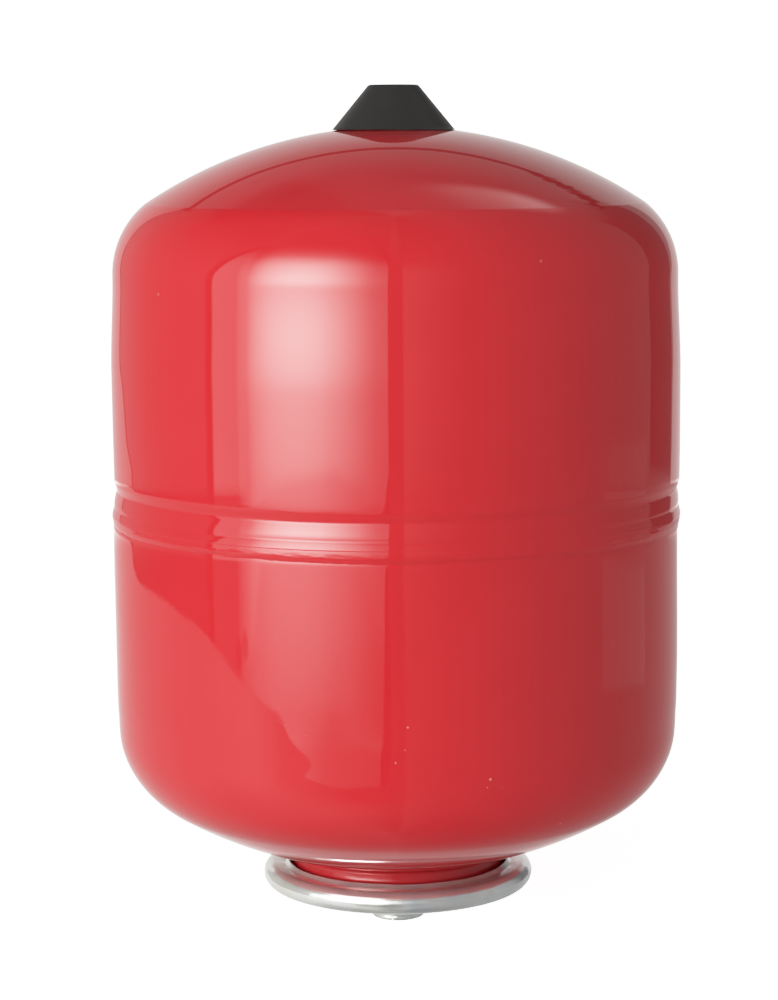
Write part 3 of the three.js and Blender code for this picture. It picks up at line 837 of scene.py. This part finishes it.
bag = finish_piece(make_membrane(), "membrane", RUBBER)
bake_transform(bag)

# ============================================================================
# charging valve
# ============================================================================


def make_stem():
    outer = [(2.6, 373.0), (4.2, 373.0), (4.7, 373.5), (4.8, 374.0), (4.8, 376.2), (5.1, 376.5)]
    outer += fillet([(8.4, 376.5), (9.0, 377.1), (9.0, 379.7)], [0.2, 0.2, 0.25], 3, loop=False)
    outer += [(5.35, 379.7), (5.0, 379.9)]
    outer += [(5.0, z) for z in np.arange(380.1, 387.3, 0.07)] + [(4.6, 387.6), (4.1, 387.6)]
    outer += [(3.87, z) for z in np.arange(387.75, 392.8, 0.05)] + [(3.4, 393.0)]
    inner = [(2.95, 393.0), (2.68, 392.75)] + [(2.65, z) for z in np.arange(392.6, 386.0, -0.4)]
    inner += [(2.65, 385.8), (2.1, 384.6), (2.1, 376.4), (2.6, 375.4), (2.6, 373.2)]

    def warp(R, Z, T):
        a = (np.abs(R - 5.0) < 0.01) & (Z > 380.6) & (Z < 387.2)
        R = np.where(a, np.minimum(4.4 + 0.6 * tooth(T, Z, 1.0), 5.0 - np.clip(Z - 386.9, 0, 1)), R)
        b = (np.abs(R - 3.87) < 0.01) & (Z > 388.0)
        R = np.where(b, np.minimum(3.40 + 0.47 * tooth(T, Z, 0.794), 3.87 - np.clip(Z - 392.4, 0, 1)), R)
        return R, Z

    return lathe("valve_stem_turned", outer + inner, 96, warp, sharp=50.0)


def tooth(T, Z, pitch, hand=1.0):
    ph = (Z / pitch - hand * T / (2 * math.pi)) % 1.0
    tri = 1 - np.abs(2 * ph - 1)
    return np.clip((tri - 0.12) / 0.76, 0, 1)


stem = finish_piece(make_stem(), "valve_stem", BRASS, "vessel")
vseal = finish_piece(
    lathe("valve_seal_ring", fillet([(5.32, 379.92), (8.7, 379.92), (8.7, 381.3), (5.32, 381.3)], [0.3] * 4, 4), 96),
    "valve_seal", RUBBER_SEAL, "vessel")
washer = finish_piece(
    lathe("valve_washer_ring", fillet([(5.3, 382.30), (9.4, 382.20), (9.4, 384.05), (5.3, 384.05)], [0.05, 0.05, 0.35, 0.2], 4), 96),
    "valve_washer", WASHER, "vessel")


def make_nut():
    c = 15.0 / math.sqrt(3)
    verts, faces = [], []
    for z in (384.3, 387.3):
        for i in range(6):
            verts.append((c * math.cos(i * math.pi / 3) * MM, c * math.sin(i * math.pi / 3) * MM, z * MM))
    faces.append([5, 4, 3, 2, 1, 0])
    faces.append([6, 7, 8, 9, 10, 11])
    for i in range(6):
        j = (i + 1) % 6
        faces.append([i, j, 6 + j, 6 + i])
    hexa = mesh_object("valve_nut_hexagon", verts, faces)
    cone = lathe("cone", [(0, 384.25), (8.15, 384.25), (8.8, 384.7), (8.8, 386.75), (7.55, 387.45), (0, 387.45)], 96)
    cut(hexa, cone, "INTERSECT")
    bore_prof = [(0, 384.0), (5.55, 384.0), (5.55, 384.35), (5.05, 384.85), (5.05, 386.75), (5.55, 387.25), (5.55, 388.0), (0, 388.0)]
    cut(hexa, lathe("bore", bore_prof, 72))
    m = hexa.modifiers.new("edge", "BEVEL")
    m.width, m.segments, m.limit_method, m.angle_limit = 0.0001, 2, "ANGLE", 25 * D2R
    bpy.context.view_layer.update()
    return resolved(hexa)


nut = finish_piece(make_nut(), "valve_nut", BRASS, "vessel")


def make_core_barrel():
    prof = [(0.8, 380.0), (1.7, 380.0), (1.8, 380.1), (1.8, 386.7), (1.9, 386.8), (2.35, 386.8), (2.45, 386.95)]
    prof += [(2.45, z) for z in np.arange(387.1, 389.9, 0.08)]
    prof += [(2.45, 390.2), (2.45, 391.9), (2.3, 392.2), (1.6, 392.2), (1.45, 392.05), (1.45, 385.4), (0.8, 385.4)]

    def warp(R, Z, T):
        a = (np.abs(R - 2.45) < 0.01) & (Z > 387.1) & (Z < 389.9)
        return np.where(a, 2.18 + 0.27 * tooth(T, Z, 0.705), R), Z

    o = lathe("core_barrel_turned", prof, 72, warp, sharp=50)
    for side in (-1, 1):
        tool = mesh_object("slot", [(x * MM, (side * 2.0 + y) * MM, (391.6 + z) * MM)
                                    for z in (-0.8, 0.8) for x, y in ((-3, -1), (3, -1), (3, 1), (-3, 1))],
                           [[3, 2, 1, 0], [4, 5, 6, 7], [0, 1, 5, 4], [1, 2, 6, 5], [2, 3, 7, 6], [3, 0, 4, 7]])
        cut(o, tool)
    return o


barrel = finish_piece(make_core_barrel(), "core_barrel", BRASS_CORE, "vessel")
collar = finish_piece(
    lathe("core_collar_seal_ring", fillet([(1.87, 384.95), (2.1, 384.95), (2.5, 385.9), (2.5, 386.65), (1.87, 386.65)], [0, 0.1, 0.2, 0.15, 0], 3), 64),
    "core_collar_seal", RED_SEAL, "vessel")
pin_prof = [(0, 378.6)] + fillet(
    [(1.3, 378.6), (1.7, 379.0), (1.7, 379.4), (0.5, 379.4), (0.5, 389.5), (1.2, 389.5), (1.2, 390.1), (0.5, 390.1), (0.5, 391.9), (0.85, 391.9), (0.85, 392.6), (0.4, 392.7)],
    [0.1, 0.1, 0.1, 0.05, 0.05, 0.1, 0.1, 0.05, 0.05, 0.1, 0.2, 0.1], 3, loop=False) + [(0, 392.7)]
pin = finish_piece(lathe("core_pin_turned", pin_prof, 64), "core_pin", BRASS_CORE, "core_pin")
cup = finish_piece(
    lathe("core_cup_seal_ring", fillet([(0.57, 379.45), (1.65, 379.45), (1.65, 379.95), (0.57, 379.95)], [0.1] * 4, 3), 64),
    "core_cup_seal", RUBBER_SEAL, "core_pin")


def make_spring():
    turns, r, wire, z0, z1 = 5, 0.98, 0.17, 385.67, 389.23
    n, k = 260, 12
    verts, faces = [], []
    for i in range(n + 1):
        t = i / n
        a = 2 * math.pi * turns * t
        # the coil rises evenly from end to end; closed end coils are not modelled
        ends = 0.75 / turns
        u = t
        zc = z0 + (z1 - z0) * u
        centre = Vector((r * math.cos(a), r * math.sin(a), zc))
        tangent = Vector((-r * math.sin(a), r * math.cos(a), (z1 - z0) / (2 * math.pi * turns))).normalized()
        out = Vector((math.cos(a), math.sin(a), 0))
        up = tangent.cross(out).normalized()
        for j in range(k):
            b = 2 * math.pi * j / k
            p = centre + (out * math.cos(b) + up * math.sin(b)) * wire
            verts.append(tuple(p * MM))
    for i in range(n):
        for j in range(k):
            j2 = (j + 1) % k
            faces.append([i * k + j, i * k + j2, (i + 1) * k + j2, (i + 1) * k + j])
    faces.append([j for j in range(k)][::-1])
    faces.append([n * k + j for j in range(k)])
    return mesh_object("core_spring_coil", verts, faces, 60)


spring = finish_piece(make_spring(), "core_spring", WIRE_STEEL)
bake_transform(spring)

# ============================================================================
# dust cap and cover
# ============================================================================


def make_dust_cap():
    outer = fillet([(4.06, 389.05), (5.5, 389.05), (5.5, 395.6), (0.0, 395.6)], [0.15, 0.25, 0.9, 0], 6, loop=False)
    outer = split(outer, 0.5, loop=False)
    inner = [(0.0, 394.3), (3.9, 394.3), (4.06, 394.15), (4.06, 391.0)]
    prof = outer + inner

    def warp(R, Z, T):
        side = (R > 4.9) & (Z > 389.5) & (Z < 394.9)
        fade = smooth01((Z - 389.6) / 0.7) * smooth01((394.9 - Z) / 0.9)
        groove = smooth01((np.cos(T * 24) - 0.15) / 0.7)
        return np.where(side, R - 0.32 * groove * fade, R), Z

    return lathe("dust_cap_knurled", prof, 384, warp, sharp=50)


cap = finish_piece(make_dust_cap(), "dust_cap", BLACK_CAP, "dust_cap")
cap_seal = finish_piece(
    lathe("dust_cap_seal_disc", [(0, 393.35)] + fillet([(3.85, 393.35), (3.85, 394.1)], [0, 0], 3, loop=False) + [(0, 394.1)], 64),
    "dust_cap_seal", RUBBER_SEAL, "cap_seal")


def make_cover():
    top, base = 401.8, 381.15
    half = math.atan2(28.65 - 11.49, 401.8 - 381.0)
    ch, sh = math.cos(half), math.sin(half)

    def cone(z, inside):
        return 11.49 + (top - z) * sh / ch - inside / ch

    rc = 2.26
    zc = top - rc
    base = 380.75
    outer = [(cone(base + 0.25, 0), base + 0.25)]
    outer += split([outer[0], (cone(zc + rc * sh, 0), zc + rc * sh)], 2.0, loop=False)[1:-1]
    outer += arc(cone(zc, rc), zc, rc, half / D2R, 90, 10)
    outer += [(r, top) for r in (7.0, 4.0, 2.0)] + [(0.0, top)]
    roof = 400.2
    inner = [(0.0, roof), (9.1, roof), (9.3, roof - 0.2), (9.3, 385.2), (9.6, 384.7), (10.4, 384.7), (10.7, 385.1), (10.7, roof - 1.9), (11.2, roof - 1.4)]
    inner += [(cone(roof - 1.4, 1.8), roof - 1.4), (cone(381.2, 1.8), 381.2), (cone(380.95, 1.5), 380.9), (cone(380.75, 0.45), 380.75), (cone(380.75, 0.12), 380.8)]
    skin = len(outer)

    def warp(R, Z, T):
        # pushed on by hand: the outside stands half a millimetre to one side
        side = np.arange(R.shape[1])[None, :] < skin
        w = side * smooth01(R / 6.0)
        return R + w * (0.13 - 0.55 * np.cos(T)), Z

    return lathe("valve_cover_cone", outer + inner, 192, warp, sharp=35)


cover = finish_piece(make_cover(), "valve_cover", BLACK_COVER, "cover")

# ============================================================================
# studio
# ============================================================================

world = bpy.data.worlds.new("studio")
bpy.context.scene.world = world
world.use_nodes = True
g = G(world.node_tree)
wx, wy, wz = g.xyz(g.coords("Generated"))
az = wx._m("ARCTAN2", -wy) * (180 / math.pi)
el = wz._m("ARCSINE") * (180 / math.pi)

depth = -el
zen_x = wx / wz.max(0.15)
zen_y = wy / wz.max(0.15)

# edge of the table the vessel stands on, as depth below the horizon
table = az.curve([(-180, 7.4), (-160, 7.6), (-140, 8.0), (-134, 8.4), (-132, 9.1), (-127, 9.5), (-116, 9.8), (-104, 10.15), (-95, 10.45),
                  (-86, 10.65), (-65, 11.8), (-58, 12.1), (-52.6, 12.5), (-47, 12.8), (-44, 13.2), (-40.2, 15.0), (-36.5, 17.0), (-32.8, 18.8),
                  (-28.5, 20.8), (-25, 21.9), (-20, 22.3), (-16, 20.8), (-7, 20.6), (0, 14.0), (20, 9.5), (90, 8.4), (124, 8.4), (150, 7.8), (180, 7.4)])
over = ((table - depth) / az.curve([(-46, 0.05), (-40, 0.3), (-30, 0.6), (-24, 1.4), (-6, 1.4), (4, 0.2), (20, 0.05)])).step(-1.0, 1.0)

# tall window to the left of the camera: bright in its middle, thinning towards its right jamb
across = az.curve([(-65.5, 0.0), (-63.5, 1.2), (-60.5, 3.6), (-57, 6.8), (-53, 9.7), (-48, 12.2), (-42, 13.6), (-36, 13.7), (-30, 12.6),
                   (-24, 9.8), (-18, 6.6), (-12, 3.7), (-8, 2.25), (-5, 1.8), (-3.6, 1.7)])
lean = az.curve([(-66, 5.5), (-60, 3.4), (-54, 0.8), (-44, 0.0), (-25, -0.6), (-14, 0.4), (-6, 2.2)])
down = (el + lean).curve([(-20, 0.028), (-15, 0.036), (-13.9, 0.060), (-12.9, 0.150), (-11.8, 0.205), (-10.7, 0.24), (-9.7, 0.28), (-8.5, 0.335),
                          (-7.5, 0.49), (-6, 0.60), (-2, 0.82), (2, 1.0), (8, 1.06), (12, 0.99), (18, 0.87), (22, 0.75),
                          (25, 0.60), (28, 0.43), (32, 0.20), (36, 0.09), (39, 0.05), (42, 0.015), (46, 0.0)])
gap_left = (el.curve([(-22, -7.6), (-16, -6.9), (-9.7, -4.5), (-7.5, -2.9), (24, -2.8), (32, -4.5), (40, -8.0)]) - az).step(-0.25, 0.25)
below = az.curve([(-48, 0.0), (-45.5, 1.4), (-40, 1.35), (-36, 1.05), (-33, 0.78), (-30, 0.56), (-27, 0.46), (-4, 0.46)]) * el.step(-12.6, -14.0)
window = (across * down + below) * gap_left * over
# curtain left of it, folded over at the top behind a dark rail
rail = el.curve([(-12, -80.2), (8, -79.2), (15, -77.2), (20, -75.4), (26.5, -72.6), (32, -69.4), (37.7, -64.6), (42, -58)])
off = az - rail
curtain = off.step(2.0, 3.4) * az.step(-60, -64.5) * 1.9 * el.curve([(-8.7, 0.0), (-8.2, 1.0), (15, 1.0), (20, 0.9), (25, 0.72), (28, 0.55), (33, 0.28), (38, 0.0)])
curtain = curtain + off.step(2.0, 3.4) * az.step(-60, -64.5) * el.step(-7.9, -8.6) * over * 0.42
# wall of the room left of the curtain
left_az = az.curve([(-149, 0.46), (-138, 0.50), (-126, 0.49), (-114, 0.43), (-102, 0.40), (-90, 0.43), (-84, 0.47), (-80, 0.47), (-60, 0.40)])
left_el = el.curve([(-12, 0.26), (-8.9, 0.30), (-8.2, 0.95), (5, 1.0), (12, 0.94), (18, 0.85), (22, 0.75), (28, 0.66), (32, 0.57), (38, 0.43),
                    (42, 0.37), (48, 0.26), (56, 0.25), (65, 0.32), (75, 0.42), (90, 0.55)])
back_l = el.curve([(-8.6, -133.0), (-7.4, -134.0), (-6.6, -139.0), (-4.8, -145.4), (-3.4, -146.4), (4, -147.6), (20, -148.0), (30, -146.0), (36, -146.0)])
wall_l = left_az * left_el * (az - back_l).step(-0.3, 0.9) * off.step(0.5, -0.5) * over
rail_shade = off.box(-1.0, 1.2, 1.0, 1.2) * el.box(-10, 1, 39, 3)
# ceiling over the window and across the front
ceil_f = az.box(-66, 12, 2, 5) * el.curve([(30, 0.0), (38, 0.03), (42, 0.09), (48, 0.11), (56, 0.14), (66, 0.18), (78, 0.19), (86, 0.25), (90, 0.4)])
# thin lit strip right of the dark jamb, then the right-hand wall
jamb = az.curve([(-3, 0.17), (2.2, 0.17), (3.6, 0.16), (18, 0.20), (30, 0.245), (38, 0.305), (46, 0.325), (56, 0.345), (66, 0.39), (78, 0.37), (90, 0.40),
                 (102, 0.39), (114, 0.38), (121, 0.36), (180, 0.36)])
right_el = el.curve([(-40, 0.9), (-10, 0.95), (0, 0.98), (10, 1.0), (30, 0.98), (40, 0.94), (52, 0.95), (62, 0.88), (76, 0.80), (90, 0.8)])
door_r = el.curve([(-8, 144.6), (0, 146.2), (6, 147.2), (18, 148.4), (26, 151.5), (34, 154.0)])
back_r = el.curve([(-8, 145.5), (-2, 148.5), (3, 151.5), (8, 154.5), (20, 156.5), (26, 156.5), (34, 157.0), (42, 150.0), (60, 140.0)])
wall_r = jamb * right_el * (az + 2.8).step(-0.3, 0.3) * (az - back_r).step(0.5, -0.5) * over
strip = az.box(3.0, 1.1, 60, 1) * az.curve([(2, 0.50), (8, 0.40), (14, 0.26), (22, 0.10), (32, 0.0)]) * el.curve([(-12, 0.30), (-9, 0.5), (-7.5, 0.85), (-2, 1.0), (16, 1.0), (22, 0.6), (27, 0.15), (33, 0.0)])
bend = el.curve([(-8, 70.2), (17, 70.2), (22, 69.6), (26, 67.6), (30, 63.0), (33, 56.0), (35, 48.0)])
wall_line = (az - bend).abs().step(1.0, 0.2) * el.box(-8.2, 0.6, 31, 6) * 0.10
# dark doorway at the far right, open below
door_l = el.curve([(-8, 121.5), (-5, 121.6), (8, 123.6), (20, 124.2), (35, 124.8), (47.5, 120.5)])
doorway = (az - door_l).step(-0.5, 0.5) * (az - door_r).step(0.4, -0.4) * el.step(-8.0, -7.2) * el.step(44, 30)
sill = az.box(92.5, 1.0, 119.0, 1.0) * (depth - g.noise(g.vec(az * 0.35, 0.0, 0.0), 1.0, 2.0) * 1.2).box(5.9, 0.4, 7.8, 0.4) * 0.08
table_r = az.box(90.5, 1.2, 119.5, 1.2) * el.box(-11.5, 0.5, -8.8, 0.4) * 0.16
# paper sweep behind the vessel, with the dark seam along its top
back = (az - back_l).step(0.3, -0.6).max((az - back_r).step(-0.5, 0.5))
seam = az.abs().curve([(100, 44), (120, 44), (136, 40), (143.6, 34.8), (150.6, 33.4), (157, 33.1), (162, 33.4), (165, 33.9), (168, 34.6),
                       (171, 35.0), (174, 35.3), (180, 35.6)])
paper_el = el.curve([(-9, 0.80), (-3, 0.78), (10, 0.79), (15, 0.77), (20, 0.73), (25, 0.66), (28, 0.59), (31, 0.50), (34, 0.42), (36, 0.40), (38, 0.36), (42, 0.34),
                     (46, 0.28), (52, 0.22), (60, 0.26), (70, 0.30), (80, 0.42), (90, 0.6)])
sweep = back * paper_el * el.step(-8.6, -7.8)
blot = az.box(153, 3, 163, 3).max(az.box(-152, 3, -145, 3)) * g.noise(g.vec(az * 0.9, el * 0.25, 0.0), 1.0, 2.0).step(0.42, 0.60)
seam_line = ((el - seam).abs() - blot * 1.6).step(1.15, 0.55) * az.abs().step(138, 146)
edge_line = (az - back_l).abs().step(1.2, 0.2) * el.box(-8.6, 0.5, 8, 4)
# overhead panel, seen in the crown, and the glow round it
s_ax = zen_x * 0.66 + zen_y * 0.75
t_ax = zen_x * 0.75 - zen_y * 0.66
p_ax = (zen_x - 0.45) * 0.884 + (zen_y - 0.765) * 0.468
q_ax = (zen_y - 0.765) * 0.884 - (zen_x - 0.45) * 0.468
up = el.step(38, 46)
lamp = p_ax.curve([(-0.50, 0.0), (-0.45, 0.05), (-0.39, 0.20), (-0.35, 0.38), (-0.30, 0.58), (-0.20, 0.86), (-0.154, 1.04), (-0.09, 1.34),
                   (-0.03, 1.38), (0.03, 1.15), (0.10, 0.40), (0.16, 0.0)])
lamp = lamp * q_ax.curve([(-0.42, 0.0), (-0.25, 0.5), (-0.15, 0.68), (-0.05, 0.95), (0.0, 1.0), (0.02, 0.95), (0.05, 0.65), (0.09, 0.15), (0.12, 0.0)]) * up
dim_l = az.step(-168, -158) * az.step(-100, -125) * el.step(42, 48) * 0.11

# table top, nearer and nearer to the vessel's foot
near = az.curve([(-180, 1.05), (-168, 0.92), (-162, 0.88), (-150, 0.83), (-126, 0.76), (-102, 0.79), (-90, 0.83), (-78, 1.0), (-66, 1.24), (-60, 1.28),
                 (-54, 1.08), (-47, 0.64), (-42, 0.54), (-37, 0.60), (-30, 0.46), (-18, 0.30), (-11, 0.15), (-2, 0.15), (6, 0.19),
                 (18, 0.20), (30, 0.31), (66, 0.37), (114, 0.38), (138, 0.46), (162, 0.56), (170, 0.75), (180, 1.05)])
mid = az.curve([(-180, 0.95), (-170, 0.78), (-162, 0.74), (-126, 0.68), (-102, 0.71), (-90, 0.79), (-78, 0.82), (-66, 0.97), (-54, 0.94), (-42, 0.72),
                (-30, 0.41), (-18, 0.15), (-6, 0.14), (6, 0.22), (18, 0.24), (30, 0.28), (66, 0.33), (102, 0.38), (138, 0.43), (162, 0.41), (171, 0.6), (180, 0.95)])
foot = az.curve([(-180, 0.50), (-162, 0.46), (-138, 0.54), (-90, 0.56), (-66, 0.64), (-54, 0.66), (-42, 0.69), (-30, 0.60), (-18, 0.48),
                 (-6, 0.29), (6, 0.28), (30, 0.25), (66, 0.31), (114, 0.35), (162, 0.37), (180, 0.45)])
k_near = el.step(-30, -15, 0.0, 1.0, "LINEAR")
k_foot = el.step(-30, -52, 0.0, 1.0, "LINEAR")
k_deep = el.step(-52, -72, 1.0, 0.62, "LINEAR")
top = (near * k_near + mid * (1.0 - k_near - k_foot).max(0.0) + foot * k_foot) * k_deep * (1.0 - over)
base = wall_l + wall_r + ceil_f + sweep
base = base * (1.0 - rail_shade * 0.62)
base = base * (1.0 - doorway * 0.60) * (1.0 - seam_line * 0.80) * (1.0 - edge_line * 0.45)
mark = (((az + 65.3) / 1.5).pow(2.0) + ((el + 11.2) / 0.42).pow(2.0)).step(1.2, 0.7)
mark = mark.max((((az + 62.4) / 1.5).pow(2.0) + ((el + 10.93) / 0.40).pow(2.0)).step(1.2, 0.7))
mark_r = ((az - 73.0) / 2.2).pow(2.0) + ((el + 10.6) / 0.45).pow(2.0)
base = base * (1.0 - mark_r.step(1.3, 0.6) * 0.35)
light = base + window + curtain + strip + sill + table_r + lamp - dim_l + top - wall_line
light = light * (1.0 - mark * 0.55)
light = light.max(0.02)

lp = g.t.nodes.new("ShaderNodeLightPath")
cam_ray = S(g, lp.outputs["Is Camera Ray"])
room = g.new("ShaderNodeBackground", 0, {"Color": (1.0, 0.985, 0.965), "Strength": light})
paper = g.new("ShaderNodeBackground", 0, {"Color": (1.0, 1.0, 1.0), "Strength": 1.64})
mixw = g.t.nodes.new("ShaderNodeMixShader")
g.put(mixw.inputs[0], cam_ray)
g.put(mixw.inputs[1], room)
g.put(mixw.inputs[2], paper)
wout = g.t.nodes.new("ShaderNodeOutputWorld")
g.t.links.new(mixw.outputs[0], wout.inputs[0])


# light thrown back by the table and the bright side of the room, low on the right
fill = bpy.data.lights.new("fill_right", "SUN")
fill.energy = 2.0
fill.angle = 70 * D2R
fill.color = (1.0, 0.99, 0.97)
fill_obj = bpy.data.objects.new("fill_right", fill)
bpy.context.scene.collection.objects.link(fill_obj)
toward = Vector((math.sin(118 * D2R) * math.cos(25 * D2R), -math.cos(118 * D2R) * math.cos(25 * D2R), -math.sin(25 * D2R)))
fill_obj.rotation_euler = toward.to_track_quat("Z", "Y").to_euler()
fill_obj.visible_glossy = False


def make_floor():
    n, half = 24, 6.0
    verts, faces = [], []
    for j in range(n + 1):
        for i in range(n + 1):
            verts.append((-half + 2 * half * i / n, -half + 2 * half * j / n, -0.0003))
    for j in range(n):
        for i in range(n):
            a = j * (n + 1) + i
            faces.append([a, a + 1, a + n + 2, a + n + 1])
    mesh = bpy.data.meshes.new("studio_floor")
    mesh.from_pydata(verts, [], faces)
    obj = bpy.data.objects.new("studio_floor", mesh)
    bpy.context.scene.collection.objects.link(obj)
    m = bpy.data.materials.new("pale_floor")
    m.use_nodes = True
    f = G(m.node_tree)
    out = f.t.nodes.new("ShaderNodeOutputMaterial")
    tone = f.noise(f.coords("Object"), 3.0, 2.0, 0.5)
    dif = f.new("ShaderNodeBsdfDiffuse", 0, {"Color": f.mix(tone, (0.80, 0.80, 0.79), (0.84, 0.84, 0.83))})
    emi = f.new("ShaderNodeEmission", 0, {"Color": (1, 1, 1), "Strength": 1.35})
    add = f.t.nodes.new("ShaderNodeAddShader")
    f.put(add.inputs[0], dif)
    f.put(add.inputs[1], emi)
    # seen from underneath the floor is left out, so that the base can be looked at
    back = f.new("ShaderNodeNewGeometry", "Backfacing")
    clear = f.new("ShaderNodeBsdfTransparent", 0)
    mixf = f.t.nodes.new("ShaderNodeMixShader")
    f.put(mixf.inputs[0], back)
    f.t.links.new(add.outputs[0], mixf.inputs[1])
    f.put(mixf.inputs[2], clear)
    f.t.links.new(mixf.outputs[0], out.inputs[0])
    mesh.materials.append(m)
    obj.visible_diffuse = False
    obj.visible_glossy = False
    obj.visible_transmission = False
    obj.visible_shadow = False
    return obj


make_floor()

scene = bpy.context.scene
scene.view_settings.view_transform = "Standard"
scene.view_settings.look = "None"
scene.view_settings.exposure = 0.0
scene.view_settings.gamma = 1.0
# a gentle shoulder, so that highlights on the paint stop short of white
scene.view_settings.use_curve_mapping = True
film = scene.view_settings.curve_mapping
film.white_level = (1.6, 1.6, 1.6)
shoulder = film.curves[3]
for x, y in ((0.4375, 0.70), (0.625, 0.845), (0.78, 0.915)):
    shoulder.points.new(x, y)
shoulder.points[0].handle_type = "VECTOR"
shoulder.points[1].handle_type = "VECTOR"
film.update()

cam_data = bpy.data.cameras.new("camera")
cam_data.sensor_fit = "AUTO"
cam_data.sensor_width = 36.0
cam_data.lens = 100.267
cam_data.shift_x = -0.00747
cam_data.shift_y = 0.03377
cam_data.clip_start = 0.05
cam_data.clip_end = 50.0
cam = bpy.data.objects.new("camera", cam_data)
scene.collection.objects.link(cam)
cam.location = (0.0, -1.32608, 0.38348)
cam.rotation_euler = (Matrix.Rotation(81.63 * D2R, 3, "X") @ Matrix.Rotation(-0.26 * D2R, 3, "Z")).to_euler()
scene.camera = cam
